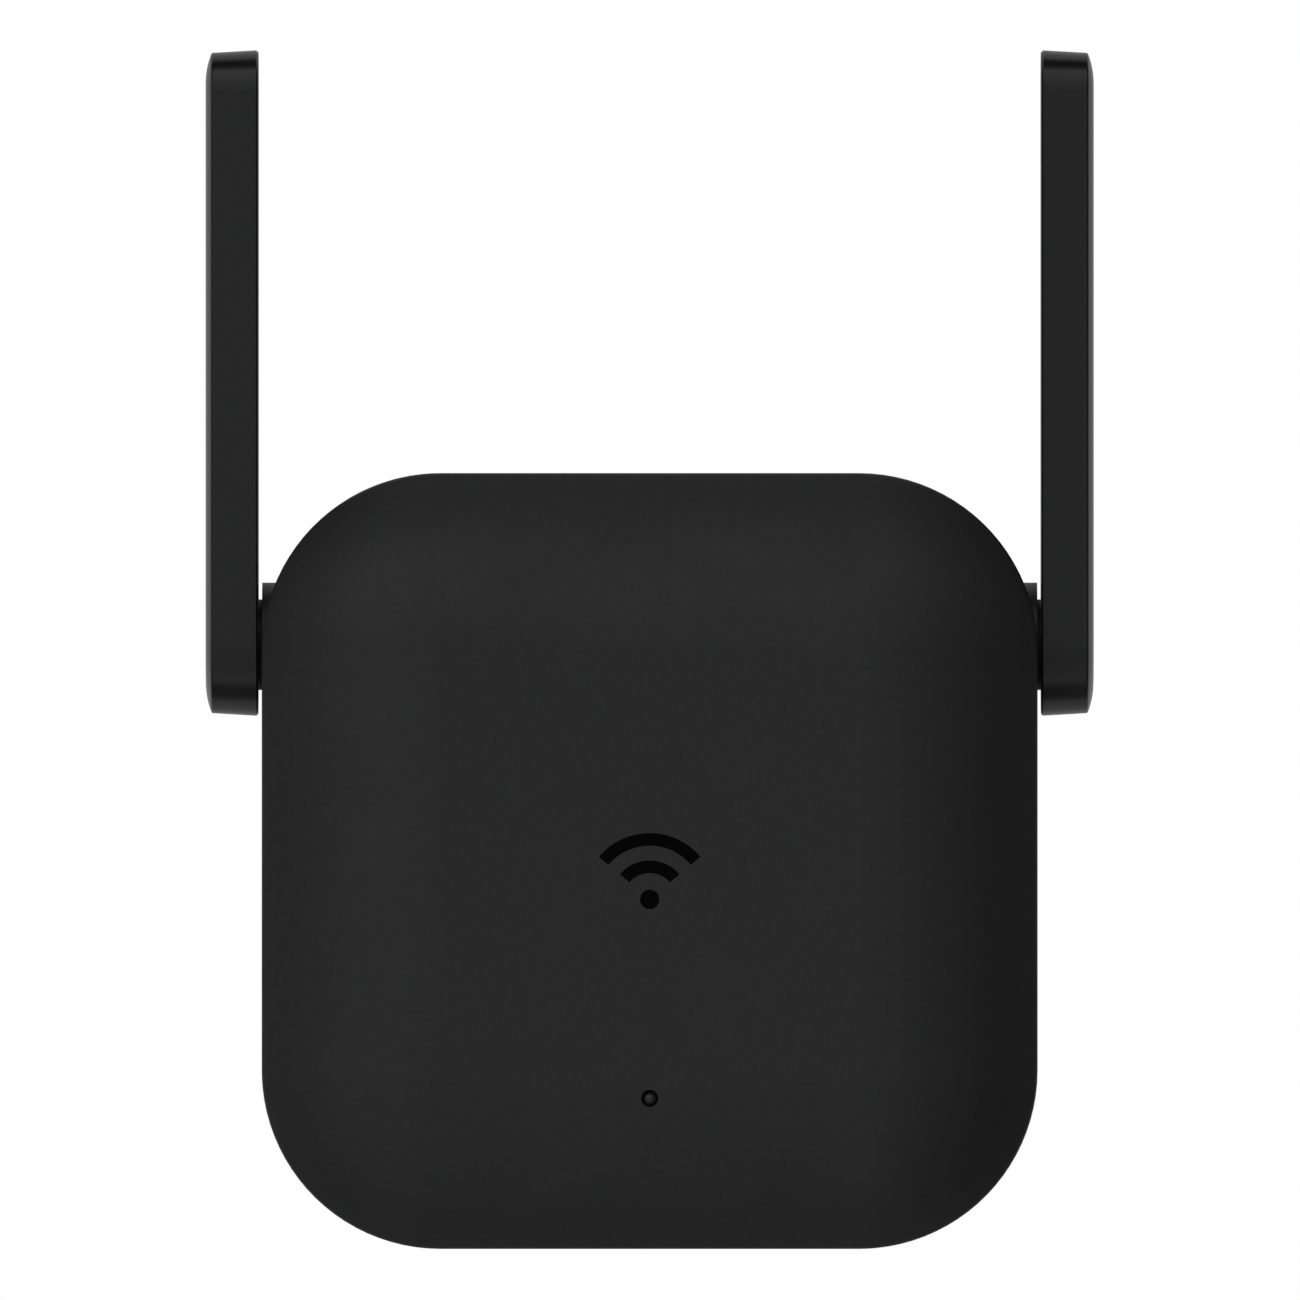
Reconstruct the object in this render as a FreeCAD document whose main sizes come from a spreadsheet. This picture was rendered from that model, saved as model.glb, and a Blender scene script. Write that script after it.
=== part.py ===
"""Plug-in wireless range extender with two swivelling paddle antennas.

Row frame: +Z up, +X to the right as seen from the front, +Y from the front towards the wall.
The origin is the centre of the plug's contact face, between the two pins. Depths named "front"
or "depth" are distances ahead of that face, so a depth d lies at y = -d. Lengths are millimetres.

The right-hand copy of each mirrored piece is modelled, and the left-hand copy is its mirror image.
"""
import FreeCAD
import Part
import Sketcher
import math
import os

from FreeCAD import Placement, Rotation, Vector

DOC = FreeCAD.newDocument("range_extender")
SHEET = DOC.addObject("Spreadsheet::Sheet", "Dims")
NODES = []

DIMENSIONS = (
    # housing
    ("body_size", 79.5, "front width and height of the housing"),
    ("corner", 18.3, "corner radius of the housing's front outline"),
    ("crown_radius", 24.5, "radius of the arc that rounds the front face off"),
    ("crown_front", 40.5, "depth of the flat middle of the front face"),
    ("oversize_play", 0.1, "extra corner radius that keeps a large fillet regular"),
    ("wall", 2.0, "housing wall"),
    ("rim_round", 0.8, "rounding between the front face and the side band"),
    ("seam_front", 31.1, "depth of the front cover's rear edge"),
    ("seam_gap", 0.25, "shadow gap between the two covers"),
    ("rear_step", 0.5, "how far the rear cover stands in from the front cover"),
    ("rear_draft", 2.0, "draft of the rear cover's sides, degrees"),
    ("back_depth", 16.0, "depth of the rear cover's back face"),
    ("back_round", 4.0, "rounding of the back edge"),
    ("tongue_thick", 1.2, "locating tongue on the front cover"),
    ("tongue_long", 0.75, "how far the tongue reaches into the rear cover"),
    ("tongue_root", 2.3, "how far the tongue runs up inside the front cover"),
    ("tongue_play", 0.15, "clearance round the tongue"),
    # plug
    ("boss_wide", 35.3, "plug boss, across the pins"),
    ("boss_high", 13.7, "plug boss, other way"),
    ("boss_flat", 24.0, "length of the plug boss's long flats"),
    ("boss_tip", 5.0, "height of the plug boss's end flats"),
    ("boss_draft", 1.0, "draft of the plug boss, degrees"),
    ("boss_round", 2.0, "rounding of the plug boss's corners"),
    ("pin_pitch", 18.6, "distance between the pin centres"),
    ("pin_r", 2.0, "pin radius"),
    ("pin_long", 19.0, "pin length outside the contact face"),
    ("sleeve_r", 1.84, "radius of the insulating sleeve"),
    ("sleeve_long", 10.0, "sleeve length outside the contact face"),
    ("pin_core_r", 1.5, "pin radius inside the sleeve"),
    ("pin_flange_r", 3.0, "radius of the flange that holds the pin in"),
    ("pin_flange", 2.0, "thickness of that flange"),
    ("pin_tail", 14.0, "depth of the pin's inner end"),
    ("pin_tail_r", 1.6, "radius of the pin's inner end"),
    ("carrier_thick", 6.0, "thickness of the carrier block"),
    ("carrier_wide", 24.0, "carrier block, across the pins"),
    ("carrier_high", 8.0, "carrier block, other way"),
    ("blade_thick", 0.5, "contact blade"),
    ("blade_wide", 3.5, "contact blade"),
    ("blade_foot", 3.5, "contact blade's solder foot"),
    ("blade_reach", 11.5, "depth of the contact blade's free end"),
    # hinges
    ("hinge_depth", 23.5, "depth of the antenna hinge axis"),
    ("hinge_up", 22.16, "height of the antenna hinge axis"),
    ("knuckle_r", 6.38, "hinge knuckle radius"),
    ("knuckle_in", 33.5, "inner end of the knuckle"),
    ("neck_r", 4.65, "antenna neck radius"),
    ("neck_inner", 39.25, "inner end of the neck"),
    ("recess_r", 4.8, "recess in the knuckle that takes the neck"),
    ("recess_floor", 39.15, "floor of that recess"),
    ("bush_r", 4.3, "hinge bush outer radius"),
    ("bush_end", 36.9, "outer end of the hinge bush"),
    ("journal_r", 3.3, "hinge journal radius"),
    ("journal_play", 0.05, "radial running clearance of the journal"),
    ("journal_bore", 1.3, "radius of the cable bore through the journal"),
    ("journal_in", 31.6, "inner end of the journal"),
    ("clip_groove_r", 2.8, "radius of the retaining clip's groove"),
    ("clip_r", 4.9, "retaining clip outer radius"),
    ("clip_in", 32.2, "inner face of the retaining clip"),
    ("clip_thick", 0.8, "retaining clip thickness"),
    ("washer_thick", 0.3, "spring washer thickness"),
    ("stop_floor", 38.0, "floor of the stop groove"),
    ("stop_lug", 38.2, "inner end of the stop lug"),
    ("stop_inner_r", 3.4, "inner radius of the stop groove"),
    ("stop_outer_r", 4.6, "outer radius of the stop groove"),
    ("stop_lug_half", 14.0, "half angle of the stop lug, degrees"),
    ("stop_play", 3.0, "angular play before the lug meets a stop, degrees"),
    # antennas
    ("paddle_in", 40.15, "inner face of the antenna"),
    ("paddle_edge", 44.69, "the parting line between housing and lid"),
    ("paddle_out", 45.54, "outer face of the antenna"),
    ("paddle_half", 7.3, "half width of the antenna, and its lower end's radius"),
    ("paddle_top", 60.98, "height of the antenna above its hinge axis"),
    ("paddle_corner", 4.2, "corner radius of the antenna's upper end"),
    ("paddle_draft", 3.3, "draft of the antenna's edges, degrees"),
    ("lid_round", 8.3, "radius of the arc that rounds off the lid's margin"),
    ("lid_span", 3.15, "width of that margin"),
    ("lid_soft", 0.26, "rounding between the margin and the lid's side"),
    ("paddle_wall", 1.2, "antenna wall"),
    ("cable_dip_r", 2.4, "radius of the dip where the cable turns into the antenna"),
    ("cable_dip", 0.6, "depth of that dip"),
    ("rib_r", 1.0, "radius of the posts that the antenna board rests on"),
    ("paddle_bevel", 0.2, "bevel of the antenna's inner edge"),
    ("lid_plug", 0.8, "depth of the lid's locating step"),
    ("lid_play", 0.1, "clearance round that step"),
    # light pipe and reset
    ("led_down", 24.25, "height of the status light below the centre"),
    ("led_hole_r", 0.875, "radius of the status light's hole"),
    ("pipe_tip_r", 0.8, "radius of the light pipe's tip"),
    ("pipe_r", 1.4, "radius of the light pipe"),
    ("pipe_sink", 0.45, "how far the tip sits below the front face"),
    ("pipe_dome", 0.75, "rounding of the tip"),
    ("pipe_collar", 0.8, "thickness of the light pipe's collar"),
    ("pipe_lift", 0.9, "gap between its inner end and the main board"),
    ("pipe_holder_r", 2.6, "radius of the boss that holds the light pipe"),
    ("reset_side", 18.0, "sideways place of the reset hole"),
    ("reset_depth", 27.3, "depth of the reset hole"),
    ("reset_r", 0.75, "radius of the reset hole"),
    ("switch_wide", 6, "reset switch width"),
    ("switch_high", 3.8, "reset switch height"),
    ("switch_past", 2, "how far the switch reaches behind the reset hole's axis"),
    ("switch_bore_r", 1.0, "radius of the switch's opening"),
    ("switch_bore", 1.4, "depth of the switch's opening"),
    ("plunger_r", 0.9, "reset plunger radius"),
    ("plunger_out", 4.5, "how far the plunger stands out of the switch"),
    ("plunger_long", 5.5, "reset plunger length"),
    # vents, label and mark
    ("back_vent_pitch", 4.5, "pitch of the vents in the back wall"),
    ("back_vent_wide", 2.0, "width of each"),
    ("back_vent_low", 16.0, "height of their lower ends"),
    ("back_vent_high", 29.0, "height of their upper ends"),
    ("side_vent_pitch", 3.6, "pitch of the vents in the top and bottom walls"),
    ("side_vent_wide", 1.6, "width of each"),
    ("side_vent_near", 20.5, "depth of their rear ends"),
    ("side_vent_far", 27.5, "depth of their front ends"),
    ("label_wide", 34.0, "width of the label's recess"),
    ("label_high", 15.0, "height of the label's recess"),
    ("label_up", -21.0, "height of the label's middle"),
    ("label_thick", 0.1, "label thickness"),
    ("label_recess", 0.15, "depth of the label's recess"),
    ("mark_low", -3.9, "height of the mark's dot"),
    ("mark_dot", 1.0, "radius of the dot"),
    ("mark_inner", 2.7, "inner radius of the mark's small arc"),
    ("mark_outer", 5.5, "inner radius of the mark's large arc"),
    ("mark_stroke", 1.3, "thickness of the arcs"),
    ("mark_spread", 50.0, "half angle of the arcs, degrees"),
    ("mark_deep", 0.2, "depth of the mark's recess"),
    ("mark_sink", 0.03, "how far the mark lies below the front face"),
    # fasteners
    ("post_x", 27.5, "sideways place of the case screws"),
    ("post_z", 29.5, "height of the case screws"),
    ("post_r", 3.2, "case screw post radius"),
    ("screw_head_r", 2.0, "case screw head radius"),
    ("screw_head", 1.6, "case screw head height"),
    ("screw_seat", 24.0, "depth of the case screw's seat"),
    ("screw_r", 1.1, "case screw shank radius"),
    ("screw_long", 11.0, "case screw shank length"),
    ("board_screw_r", 0.8, "board screw shank radius"),
    ("board_screw_head_r", 1.6, "board screw head radius"),
    ("board_screw_head", 1.0, "board screw head height"),
    ("board_post_r", 2.2, "board post radius"),
    # boards
    ("main_rear", 30.6, "depth of the main board's rear face"),
    ("main_thick", 1.0, "main board thickness"),
    ("main_wide", 58.0, "main board width"),
    ("main_high", 54.0, "main board height"),
    ("main_corner", 8.0, "main board corner radius"),
    ("main_screw_x", 24.0, "sideways place of the main board's screws"),
    ("main_screw_z", 17.0, "height of the main board's screws"),
    ("power_rear", 19.4, "depth of the power board's rear face"),
    ("power_thick", 1.6, "power board thickness"),
    ("power_wide", 44.0, "power board width"),
    ("power_low", -22.0, "lower edge of the power board"),
    ("power_top", 12.0, "upper edge of the power board"),
    ("power_screw_x", 19.0, "sideways place of the power board's screws"),
    ("power_screw_low", -19.0, "height of its lower screws"),
    ("power_screw_top", 9.0, "height of its upper screws"),
    # antenna cables
    ("coax_r", 0.6, "antenna cable radius"),
    ("coax_x", 16.0, "sideways place of the cable's connector"),
    ("coax_depth", 29.5, "depth of the cable along the main board"),
    ("coax_bend", 2.2, "bend radius of the cable in the housing"),
    ("coax_lane", 42.0, "sideways place of the cable inside the antenna"),
    ("coax_rise", 22.0, "height above the hinge axis where the cable joins the antenna's board"),
    ("element_wide", 8.0, "antenna board width"),
    ("element_low", 9.0, "lower end of the antenna board above the hinge axis"),
    ("element_high", 50.0, "antenna board length"),
    ("element_thick", 0.8, "antenna board thickness"),
    # the shield can and what is stacked under and over it
    ("can_sheet", 0.3, "shield can, sheet thickness"),
    ("sink_base", 1.2, "heatsink base thickness"),
    ("sink_fin_wide", 1.0, "heatsink fin thickness"),
    ("sink_fin_pitch", 2.9, "heatsink fin pitch"),
    # the header between the boards
    ("header_up", 9.5, "height of the header's row of pins"),
    ("header_pitch", 2.54, "pitch of the header's pins"),
    ("header_pin", 0.64, "width of a square header pin"),
    ("header_wide", 10.4, "header shroud width"),
    ("header_high", 2.6, "header shroud height"),
)

# Boxes that stand on a board: sideways place, height of the middle, width, depth and height.
BOXES = (
    ("core", 3.5, -7, 17, 8.8, 6, "transformer core"),
    ("winding", 3.5, -7, 11.5, 5.6, 13, "transformer winding"),
    ("bridge", 12.5, -18.3, 6.5, 2.6, 5, "bridge rectifier"),
    ("controller", -17, 1.5, 5, 1.6, 4, "controller chip"),
    ("isolator", -9.5, 0.5, 4.6, 3.4, 6.4, "optocoupler"),
    ("film", 0, -9, 42, 0.3, 26, "insulation sheet"),
    ("can", 0, 5, 26, 2.4, 24, "shield can"),
    ("wifi", 0, 5, 10, 1.1, 10, "wifi chip"),
    ("inner_pad", 0, 5, 9, 1.0, 9, "thermal pad under the can"),
    ("outer_pad", 0, 5, 22, 0.5, 20, "thermal pad on the can"),
    ("sink", 0, 5, 30, 3, 22, "heatsink"),
    ("flash", -19.5, -8, 6, 1, 8, "flash chip"),
    ("crystal", 18, -8, 3.2, 0.8, 2.5, "crystal"),
)
BOX_CELLS = ("x", "up", "wide", "deep", "high")

# Round parts on the power board: sideways place, height of the lower or left end, how far the axis
# stands off the board, radius and length.
RODS = (
    ("bulk_one", -17.3, -16.9, 4, 4, 12, "first bulk capacitor"),
    ("bulk_two", -9.1, -16.9, 4, 4, 12, "second bulk capacitor"),
    ("output", 17.2, -13, 3.15, 3.15, 9, "output capacitor"),
    ("fuse", -4, -18.5, 2, 1.8, 9.5, "fuse resistor"),
    ("disc", -5.2, 4, 3.6, 3.5, 2.4, "safety capacitor"),
)
ROD_CELLS = ("x", "up", "off", "wide", "long")

# The inductor's drum, from the board up: start, radius and length of its two flanges and its coil.
DRUM_X, DRUM_UP = 13, 4.5
DRUM = (("low", 0, 3.2, 0.8), ("coil", 0, 2.6, 6.8), ("top", 6, 3.2, 0.8))


class Dim:
    """A length: its value, and the spreadsheet expression that gives it."""

    def __init__(self, value, text):
        self.value = value
        self.text = text

    def _join(self, other, sign, value):
        return Dim(value, f"({self.text} {sign} {dim(other).text})")

    def __add__(self, other):
        return self._join(other, "+", self.value + dim(other).value)

    def __sub__(self, other):
        return self._join(other, "-", self.value - dim(other).value)

    def __mul__(self, other):
        return self._join(other, "*", self.value * dim(other).value)

    def __truediv__(self, other):
        return self._join(other, "/", self.value / dim(other).value)

    def __neg__(self):
        return Dim(-self.value, f"(0 - {self.text})")


def dim(value):
    """A Dim as it is, and a plain number as a Dim."""
    return value if isinstance(value, Dim) else Dim(float(value), f"{value}")


def tangent(angle):
    """The tangent of an angle in degrees."""
    return Dim(math.tan(math.radians(angle.value)), f"tan({angle.text} * 1 deg)")


class Dimensions:
    """The sheet's cells by alias, as Dims."""

    def __getattr__(self, alias):
        return Dim(float(SHEET.get(alias)), f"Dims.{alias}")


D = Dimensions()


def sheet_rows():
    """Every cell of the sheet: its alias, value and note."""
    rows = list(DIMENSIONS)
    for table, cells in ((BOXES, BOX_CELLS), (RODS, ROD_CELLS)):
        for name, *sizes, note in table:
            rows += [(f"{name}_{cell}", size, f"{note}, {cell}") for cell, size in zip(cells, sizes)]
    return rows


def fill_sheet():
    for row, (alias, value, note) in enumerate(sheet_rows(), 1):
        SHEET.set(f"A{row}", note)
        SHEET.set(f"B{row}", f"{value}")
        SHEET.setAlias(f"B{row}", alias)
    DOC.recompute()


fill_sheet()


def bind(obj, prop, value):
    obj.setExpression(prop, dim(value).text)


# ---------------------------------------------------------------- sketches

ORIGIN_POINT = (-1, 1)
H_AXIS, V_AXIS = -1, -2


def new_body(name):
    return DOC.addObject("PartDesign::Body", name)


def new_sketch(body, plane, offset=0.0):
    """A sketch on one of the body's origin planes, at an offset along that plane's normal.

    XZ_Plane: sketch axes are X and Z, and its normal points to the front (-Y), so the offset is a depth.
    YZ_Plane: sketch axes are Y and Z, and its normal is +X. XY_Plane: its normal is +Z.
    """
    sketch = body.newObject("Sketcher::SketchObject", f"{body.Name}_sketch")
    support = [f for f in body.Origin.OriginFeatures if f.Role == plane][0]
    sketch.AttachmentSupport = [(support, "")]
    sketch.MapMode = "FlatFace"
    bind(sketch, "AttachmentOffset.Base.z", offset)
    return sketch


def place_point(sketch, index, point, x, z):
    """Fixes one point of a sketch at (x, z) from its origin."""
    for value, kind, axis in ((x, "DistanceX", V_AXIS), (z, "DistanceY", H_AXIS)):
        value = dim(value)
        if abs(value.value) < 1e-9:
            sketch.addConstraint(Sketcher.Constraint("PointOnObject", index, point, axis))
        else:
            number = sketch.addConstraint(
                Sketcher.Constraint(kind, *ORIGIN_POINT, index, point, value.value))
            sketch.setExpression(f"Constraints[{number}]", value.text)


def draw_polygon(sketch, points):
    """A closed outline with straight sides through (x, z) points, each of them fixed."""
    points = [(dim(x), dim(z)) for x, z in points]
    places = [Vector(x.value, z.value, 0) for x, z in points]
    first = sketch.GeometryCount
    for start, end in zip(places, places[1:] + places[:1]):
        sketch.addGeometry(Part.LineSegment(start, end))
    count = len(points)
    for k in range(count):
        sketch.addConstraint(
            Sketcher.Constraint("Coincident", first + k, 2, first + (k + 1) % count, 1))
    for k, (x, z) in enumerate(points):
        place_point(sketch, first + k, 1, x, z)


def draw_rectangle(sketch, left, low, right, top):
    draw_polygon(sketch, [(left, low), (right, low), (right, top), (left, top)])


def draw_circle(sketch, x, z, radius):
    radius = dim(radius)
    centre = Vector(dim(x).value, dim(z).value, 0)
    index = sketch.addGeometry(Part.Circle(centre, Vector(0, 0, 1), radius.value))
    number = sketch.addConstraint(Sketcher.Constraint("Radius", index, radius.value))
    sketch.setExpression(f"Constraints[{number}]", radius.text)
    place_point(sketch, index, 3, x, z)


def draw_round_rectangle(sketch, left, low, right, top, radius):
    """A rectangle whose corners are arcs of one radius, held by tangents."""
    left, low, right, top, radius = (dim(v) for v in (left, low, right, top, radius))
    r = radius.value
    corners = (
        (right.value - r, low.value + r, -90), (right.value - r, top.value - r, 0),
        (left.value + r, top.value - r, 90), (left.value + r, low.value + r, 180))
    first = sketch.GeometryCount
    arcs = []
    for x, z, start in corners:
        circle = Part.Circle(Vector(x, z, 0), Vector(0, 0, 1), r)
        arcs.append(Part.ArcOfCircle(circle, math.radians(start), math.radians(start + 90)))
    for arc, following in zip(arcs, arcs[1:] + arcs[:1]):
        sketch.addGeometry(arc)
        sketch.addGeometry(Part.LineSegment(arc.EndPoint, following.StartPoint))
    for k in range(0, 8, 2):
        arc, line, following = first + k, first + k + 1, first + (k + 2) % 8
        sketch.addConstraint(Sketcher.Constraint("Tangent", arc, 2, line, 1))
        sketch.addConstraint(Sketcher.Constraint("Tangent", line, 2, following, 1))
        if k:
            sketch.addConstraint(Sketcher.Constraint("Equal", first, arc))
    number = sketch.addConstraint(Sketcher.Constraint("Radius", first, r))
    sketch.setExpression(f"Constraints[{number}]", radius.text)
    for k, kind in ((1, "Vertical"), (3, "Horizontal")):
        sketch.addConstraint(Sketcher.Constraint(kind, first + k))
    for k, kind, value in (
            (1, "DistanceX", right), (3, "DistanceY", top), (5, "DistanceX", left), (7, "DistanceY", low)):
        number = sketch.addConstraint(Sketcher.Constraint(kind, *ORIGIN_POINT, first + k, 1, value.value))
        sketch.setExpression(f"Constraints[{number}]", value.text)


def draw_square(sketch, half, radius):
    draw_round_rectangle(sketch, -half, -half, half, half, radius)


def draw_arc_slot(sketch, x, z, inner, outer, start, end):
    """A slot bent round (x, z) between two radii and two angles in degrees, with radial ends."""
    x, z, inner, outer, start, end = (dim(v) for v in (x, z, inner, outer, start, end))
    centre = Vector(x.value, z.value, 0)
    first = sketch.GeometryCount
    sides = []
    for radius in (inner, outer):
        circle = Part.Circle(centre, Vector(0, 0, 1), radius.value)
        sides.append(Part.ArcOfCircle(circle, math.radians(start.value), math.radians(end.value)))
        index = sketch.addGeometry(sides[-1])
        number = sketch.addConstraint(Sketcher.Constraint("Radius", index, radius.value))
        sketch.setExpression(f"Constraints[{number}]", radius.text)
    for index, point in ((2, "StartPoint"), (3, "EndPoint")):
        sketch.addGeometry(Part.LineSegment(getattr(sides[0], point), getattr(sides[1], point)))
    place_point(sketch, first, 3, x, z)
    sketch.addConstraint(Sketcher.Constraint("Coincident", first, 3, first + 1, 3))
    for line, end_of_arc, angle in ((first + 2, 1, start), (first + 3, 2, end)):
        sketch.addConstraint(Sketcher.Constraint("Coincident", first, end_of_arc, line, 1))
        sketch.addConstraint(Sketcher.Constraint("Coincident", first + 1, end_of_arc, line, 2))
        sketch.addConstraint(Sketcher.Constraint("PointOnObject", first, 3, line))
        number = sketch.addConstraint(
            Sketcher.Constraint("Angle", H_AXIS, 1, line, 1, math.radians(angle.value)))
        sketch.setExpression(f"Constraints[{number}]", angle.text)


def draw_paddle(sketch, half, top, corner):
    """The antenna's outline in its own YZ plane: round about the hinge axis below, flat-topped above."""
    half, top, corner = (dim(v) for v in (half, top, corner))
    h, t, c = half.value, top.value, corner.value
    side = h - c
    up = Vector(0, 0, 1)
    arcs = (
        Part.ArcOfCircle(Part.Circle(Vector(0, 0, 0), up, h), math.pi, 2 * math.pi),
        Part.ArcOfCircle(Part.Circle(Vector(side, t - c, 0), up, c), 0, math.pi / 2),
        Part.ArcOfCircle(Part.Circle(Vector(-side, t - c, 0), up, c), math.pi / 2, math.pi))
    first = sketch.GeometryCount
    for arc, following in zip(arcs, arcs[1:] + arcs[:1]):
        sketch.addGeometry(arc)
        sketch.addGeometry(Part.LineSegment(arc.EndPoint, following.StartPoint))
    for k in range(0, 6, 2):
        sketch.addConstraint(Sketcher.Constraint("Tangent", first + k, 2, first + k + 1, 1))
        sketch.addConstraint(Sketcher.Constraint("Tangent", first + k + 1, 2, first + (k + 2) % 6, 1))
    sketch.addConstraint(Sketcher.Constraint("Coincident", first, 3, *ORIGIN_POINT))
    sketch.addConstraint(Sketcher.Constraint("Equal", first + 2, first + 4))
    sketch.addConstraint(Sketcher.Constraint("Vertical", first + 1))
    sketch.addConstraint(Sketcher.Constraint("Vertical", first + 5))
    sketch.addConstraint(Sketcher.Constraint("Horizontal", first + 3))
    for kind, index, value in (("Radius", first, half), ("Radius", first + 2, corner)):
        number = sketch.addConstraint(Sketcher.Constraint(kind, index, value.value))
        sketch.setExpression(f"Constraints[{number}]", value.text)
    number = sketch.addConstraint(Sketcher.Constraint("DistanceY", *ORIGIN_POINT, first + 3, 1, t))
    sketch.setExpression(f"Constraints[{number}]", top.text)


def short_arc(centre, radius, one, other):
    """The arc of less than half a turn between two points of a circle."""
    angles = [math.atan2(point.y - centre.y, point.x - centre.x) for point in (one, other)]
    if (angles[1] - angles[0]) % (2 * math.pi) > math.pi:
        angles.reverse()
    return Part.ArcOfCircle(Part.Circle(centre, Vector(0, 0, 1), radius), *angles)


def draw_bent_path(sketch, points, radius):
    """A path along straight lines through (x, z) points, with every corner rounded by one radius."""
    points = [(dim(x), dim(z)) for x, z in points]
    places = [Vector(x.value, z.value, 0) for x, z in points]
    r = radius.value
    guides = []
    for k, (start, end) in enumerate(zip(places, places[1:])):
        guides.append(sketch.addGeometry(Part.LineSegment(start, end), True))
        place_point(sketch, guides[k], 1, *points[k])
        if k:
            sketch.addConstraint(Sketcher.Constraint("Coincident", guides[k - 1], 2, guides[k], 1))
    place_point(sketch, guides[-1], 2, *points[-1])

    starts, ends, arcs = [places[0]], [], []
    for before, corner, after in zip(places, places[1:], places[2:]):
        back, on = (before - corner).normalize(), (after - corner).normalize()
        half_angle = back.getAngle(on) / 2
        middle = corner + (back + on).normalize() * (r / math.sin(half_angle))
        ends.append(corner + back * (r / math.tan(half_angle)))
        starts.append(corner + on * (r / math.tan(half_angle)))
        arcs.append(short_arc(middle, r, ends[-1], starts[-1]))
    ends.append(places[-1])

    lines = [sketch.addGeometry(Part.LineSegment(a, b)) for a, b in zip(starts, ends)]
    for line, guide in zip(lines, guides):
        for point in (1, 2):
            at_end = line == lines[0] and point == 1 or line == lines[-1] and point == 2
            kind = "Coincident" if at_end else "PointOnObject"
            target = (guide, point) if at_end else (guide,)
            sketch.addConstraint(Sketcher.Constraint(kind, line, point, *target))
    for k, arc in enumerate(arcs):
        index = sketch.addGeometry(arc)
        starts_here = (sketch.Geometry[index].StartPoint - ends[k]).Length < 1e-6
        first, second = (1, 2) if starts_here else (2, 1)
        sketch.addConstraint(Sketcher.Constraint("Tangent", lines[k], 2, index, first))
        sketch.addConstraint(Sketcher.Constraint("Tangent", index, second, lines[k + 1], 1))
        number = sketch.addConstraint(Sketcher.Constraint("Radius", index, r))
        sketch.setExpression(f"Constraints[{number}]", radius.text)


# ---------------------------------------------------------------- features


def pad(body, sketch, length, backwards=False, draft=None):
    feature = body.newObject("PartDesign::Pad", f"{body.Name}_pad")
    feature.Profile = sketch
    bind(feature, "Length", length)
    feature.Reversed = backwards
    if draft is not None:
        bind(feature, "TaperAngle", draft)
    return finish_feature(feature, sketch)


def pocket(body, sketch, length, backwards=False):
    """Cuts along the sketch's normal, or against it when backwards."""
    feature = body.newObject("PartDesign::Pocket", f"{body.Name}_pocket")
    feature.Profile = sketch
    bind(feature, "Length", length)
    feature.Reversed = not backwards
    return finish_feature(feature, sketch)


def finish_feature(feature, sketch):
    sketch.Visibility = False
    DOC.recompute()
    return feature


def revolve(body, sketch, axis):
    feature = body.newObject("PartDesign::Revolution", f"{body.Name}_turn")
    feature.Profile = sketch
    feature.ReferenceAxis = (sketch, [axis])
    feature.Angle = 360.0
    return finish_feature(feature, sketch)


def dress_edges(body, kind, prop, size, chosen):
    """A fillet or chamfer on each edge of the body's tip for which chosen(edge) is true."""
    base = body.Tip
    names = [f"Edge{k}" for k, edge in enumerate(base.Shape.Edges, 1) if chosen(edge)]
    feature = body.newObject(f"PartDesign::{kind}", f"{body.Name}_{kind.lower()}")
    feature.Base = (base, names)
    bind(feature, prop, size)
    DOC.recompute()
    return feature


def round_edges(body, radius, chosen):
    return dress_edges(body, "Fillet", "Radius", radius, chosen)


def bevel_edges(body, size, chosen):
    return dress_edges(body, "Chamfer", "Size", size, chosen)


def combine(body, kind, *others):
    """Joins other bodies into this one: kind is Fuse, Cut or Common."""
    feature = body.newObject("PartDesign::Boolean", f"{body.Name}_{kind.lower()}")
    feature.setObjects(list(others))
    feature.Type = kind
    DOC.recompute()
    return feature


def pattern(body, feature, direction, step, count):
    """Repeats a feature count times along an origin axis, a step apart."""
    repeated = body.newObject("PartDesign::LinearPattern", f"{body.Name}_row")
    repeated.Originals = [feature]
    axis = [f for f in body.Origin.OriginFeatures if f.Role == direction][0]
    repeated.Direction = (axis, [""])
    bind(repeated, "Length", dim(step) * (count - 1))
    repeated.Occurrences = count
    body.Tip = repeated
    DOC.recompute()
    return repeated


def at_depth(depth):
    """Chooses edges that lie wholly at one depth."""
    y = -dim(depth).value
    return lambda edge: all(abs(v.Y - y) < 1e-4 for v in edge.Vertexes) and \
        abs(edge.CenterOfMass.y - y) < 1e-4


def between_depths(low, high):
    """Chooses edges whose ends all lie between two depths."""
    return lambda edge: all(low.value < -v.Y < high.value for v in edge.Vertexes)


def leaving_depth(depth):
    """Chooses edges with one end at a depth and the other end elsewhere."""
    y = -dim(depth).value
    return lambda edge: [abs(v.Y - y) < 1e-4 for v in edge.Vertexes].count(True) == 1


def at_side(x):
    """Chooses edges that lie wholly at one sideways place."""
    return lambda edge: all(abs(v.X - x.value) < 1e-4 for v in edge.Vertexes) and \
        abs(edge.CenterOfMass.x - x.value) < 1e-4


def between_sides(low, high):
    """Chooses edges whose ends all lie between two sideways places."""
    return lambda edge: all(low.value < v.X < high.value for v in edge.Vertexes)


def node(obj, label):
    """Names a finished sub-part: its label is its file's name."""
    obj.Label = label
    NODES.append(obj)
    return obj


def mirrored(obj, label):
    """The left-hand copy of a right-hand sub-part."""
    copy = DOC.addObject("Part::Mirroring", f"{obj.Name}_mirror")
    copy.Source = obj
    copy.Normal = Vector(1, 0, 0)
    copy.Base = Vector(0, 0, 0)
    return node(copy, label)


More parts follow.
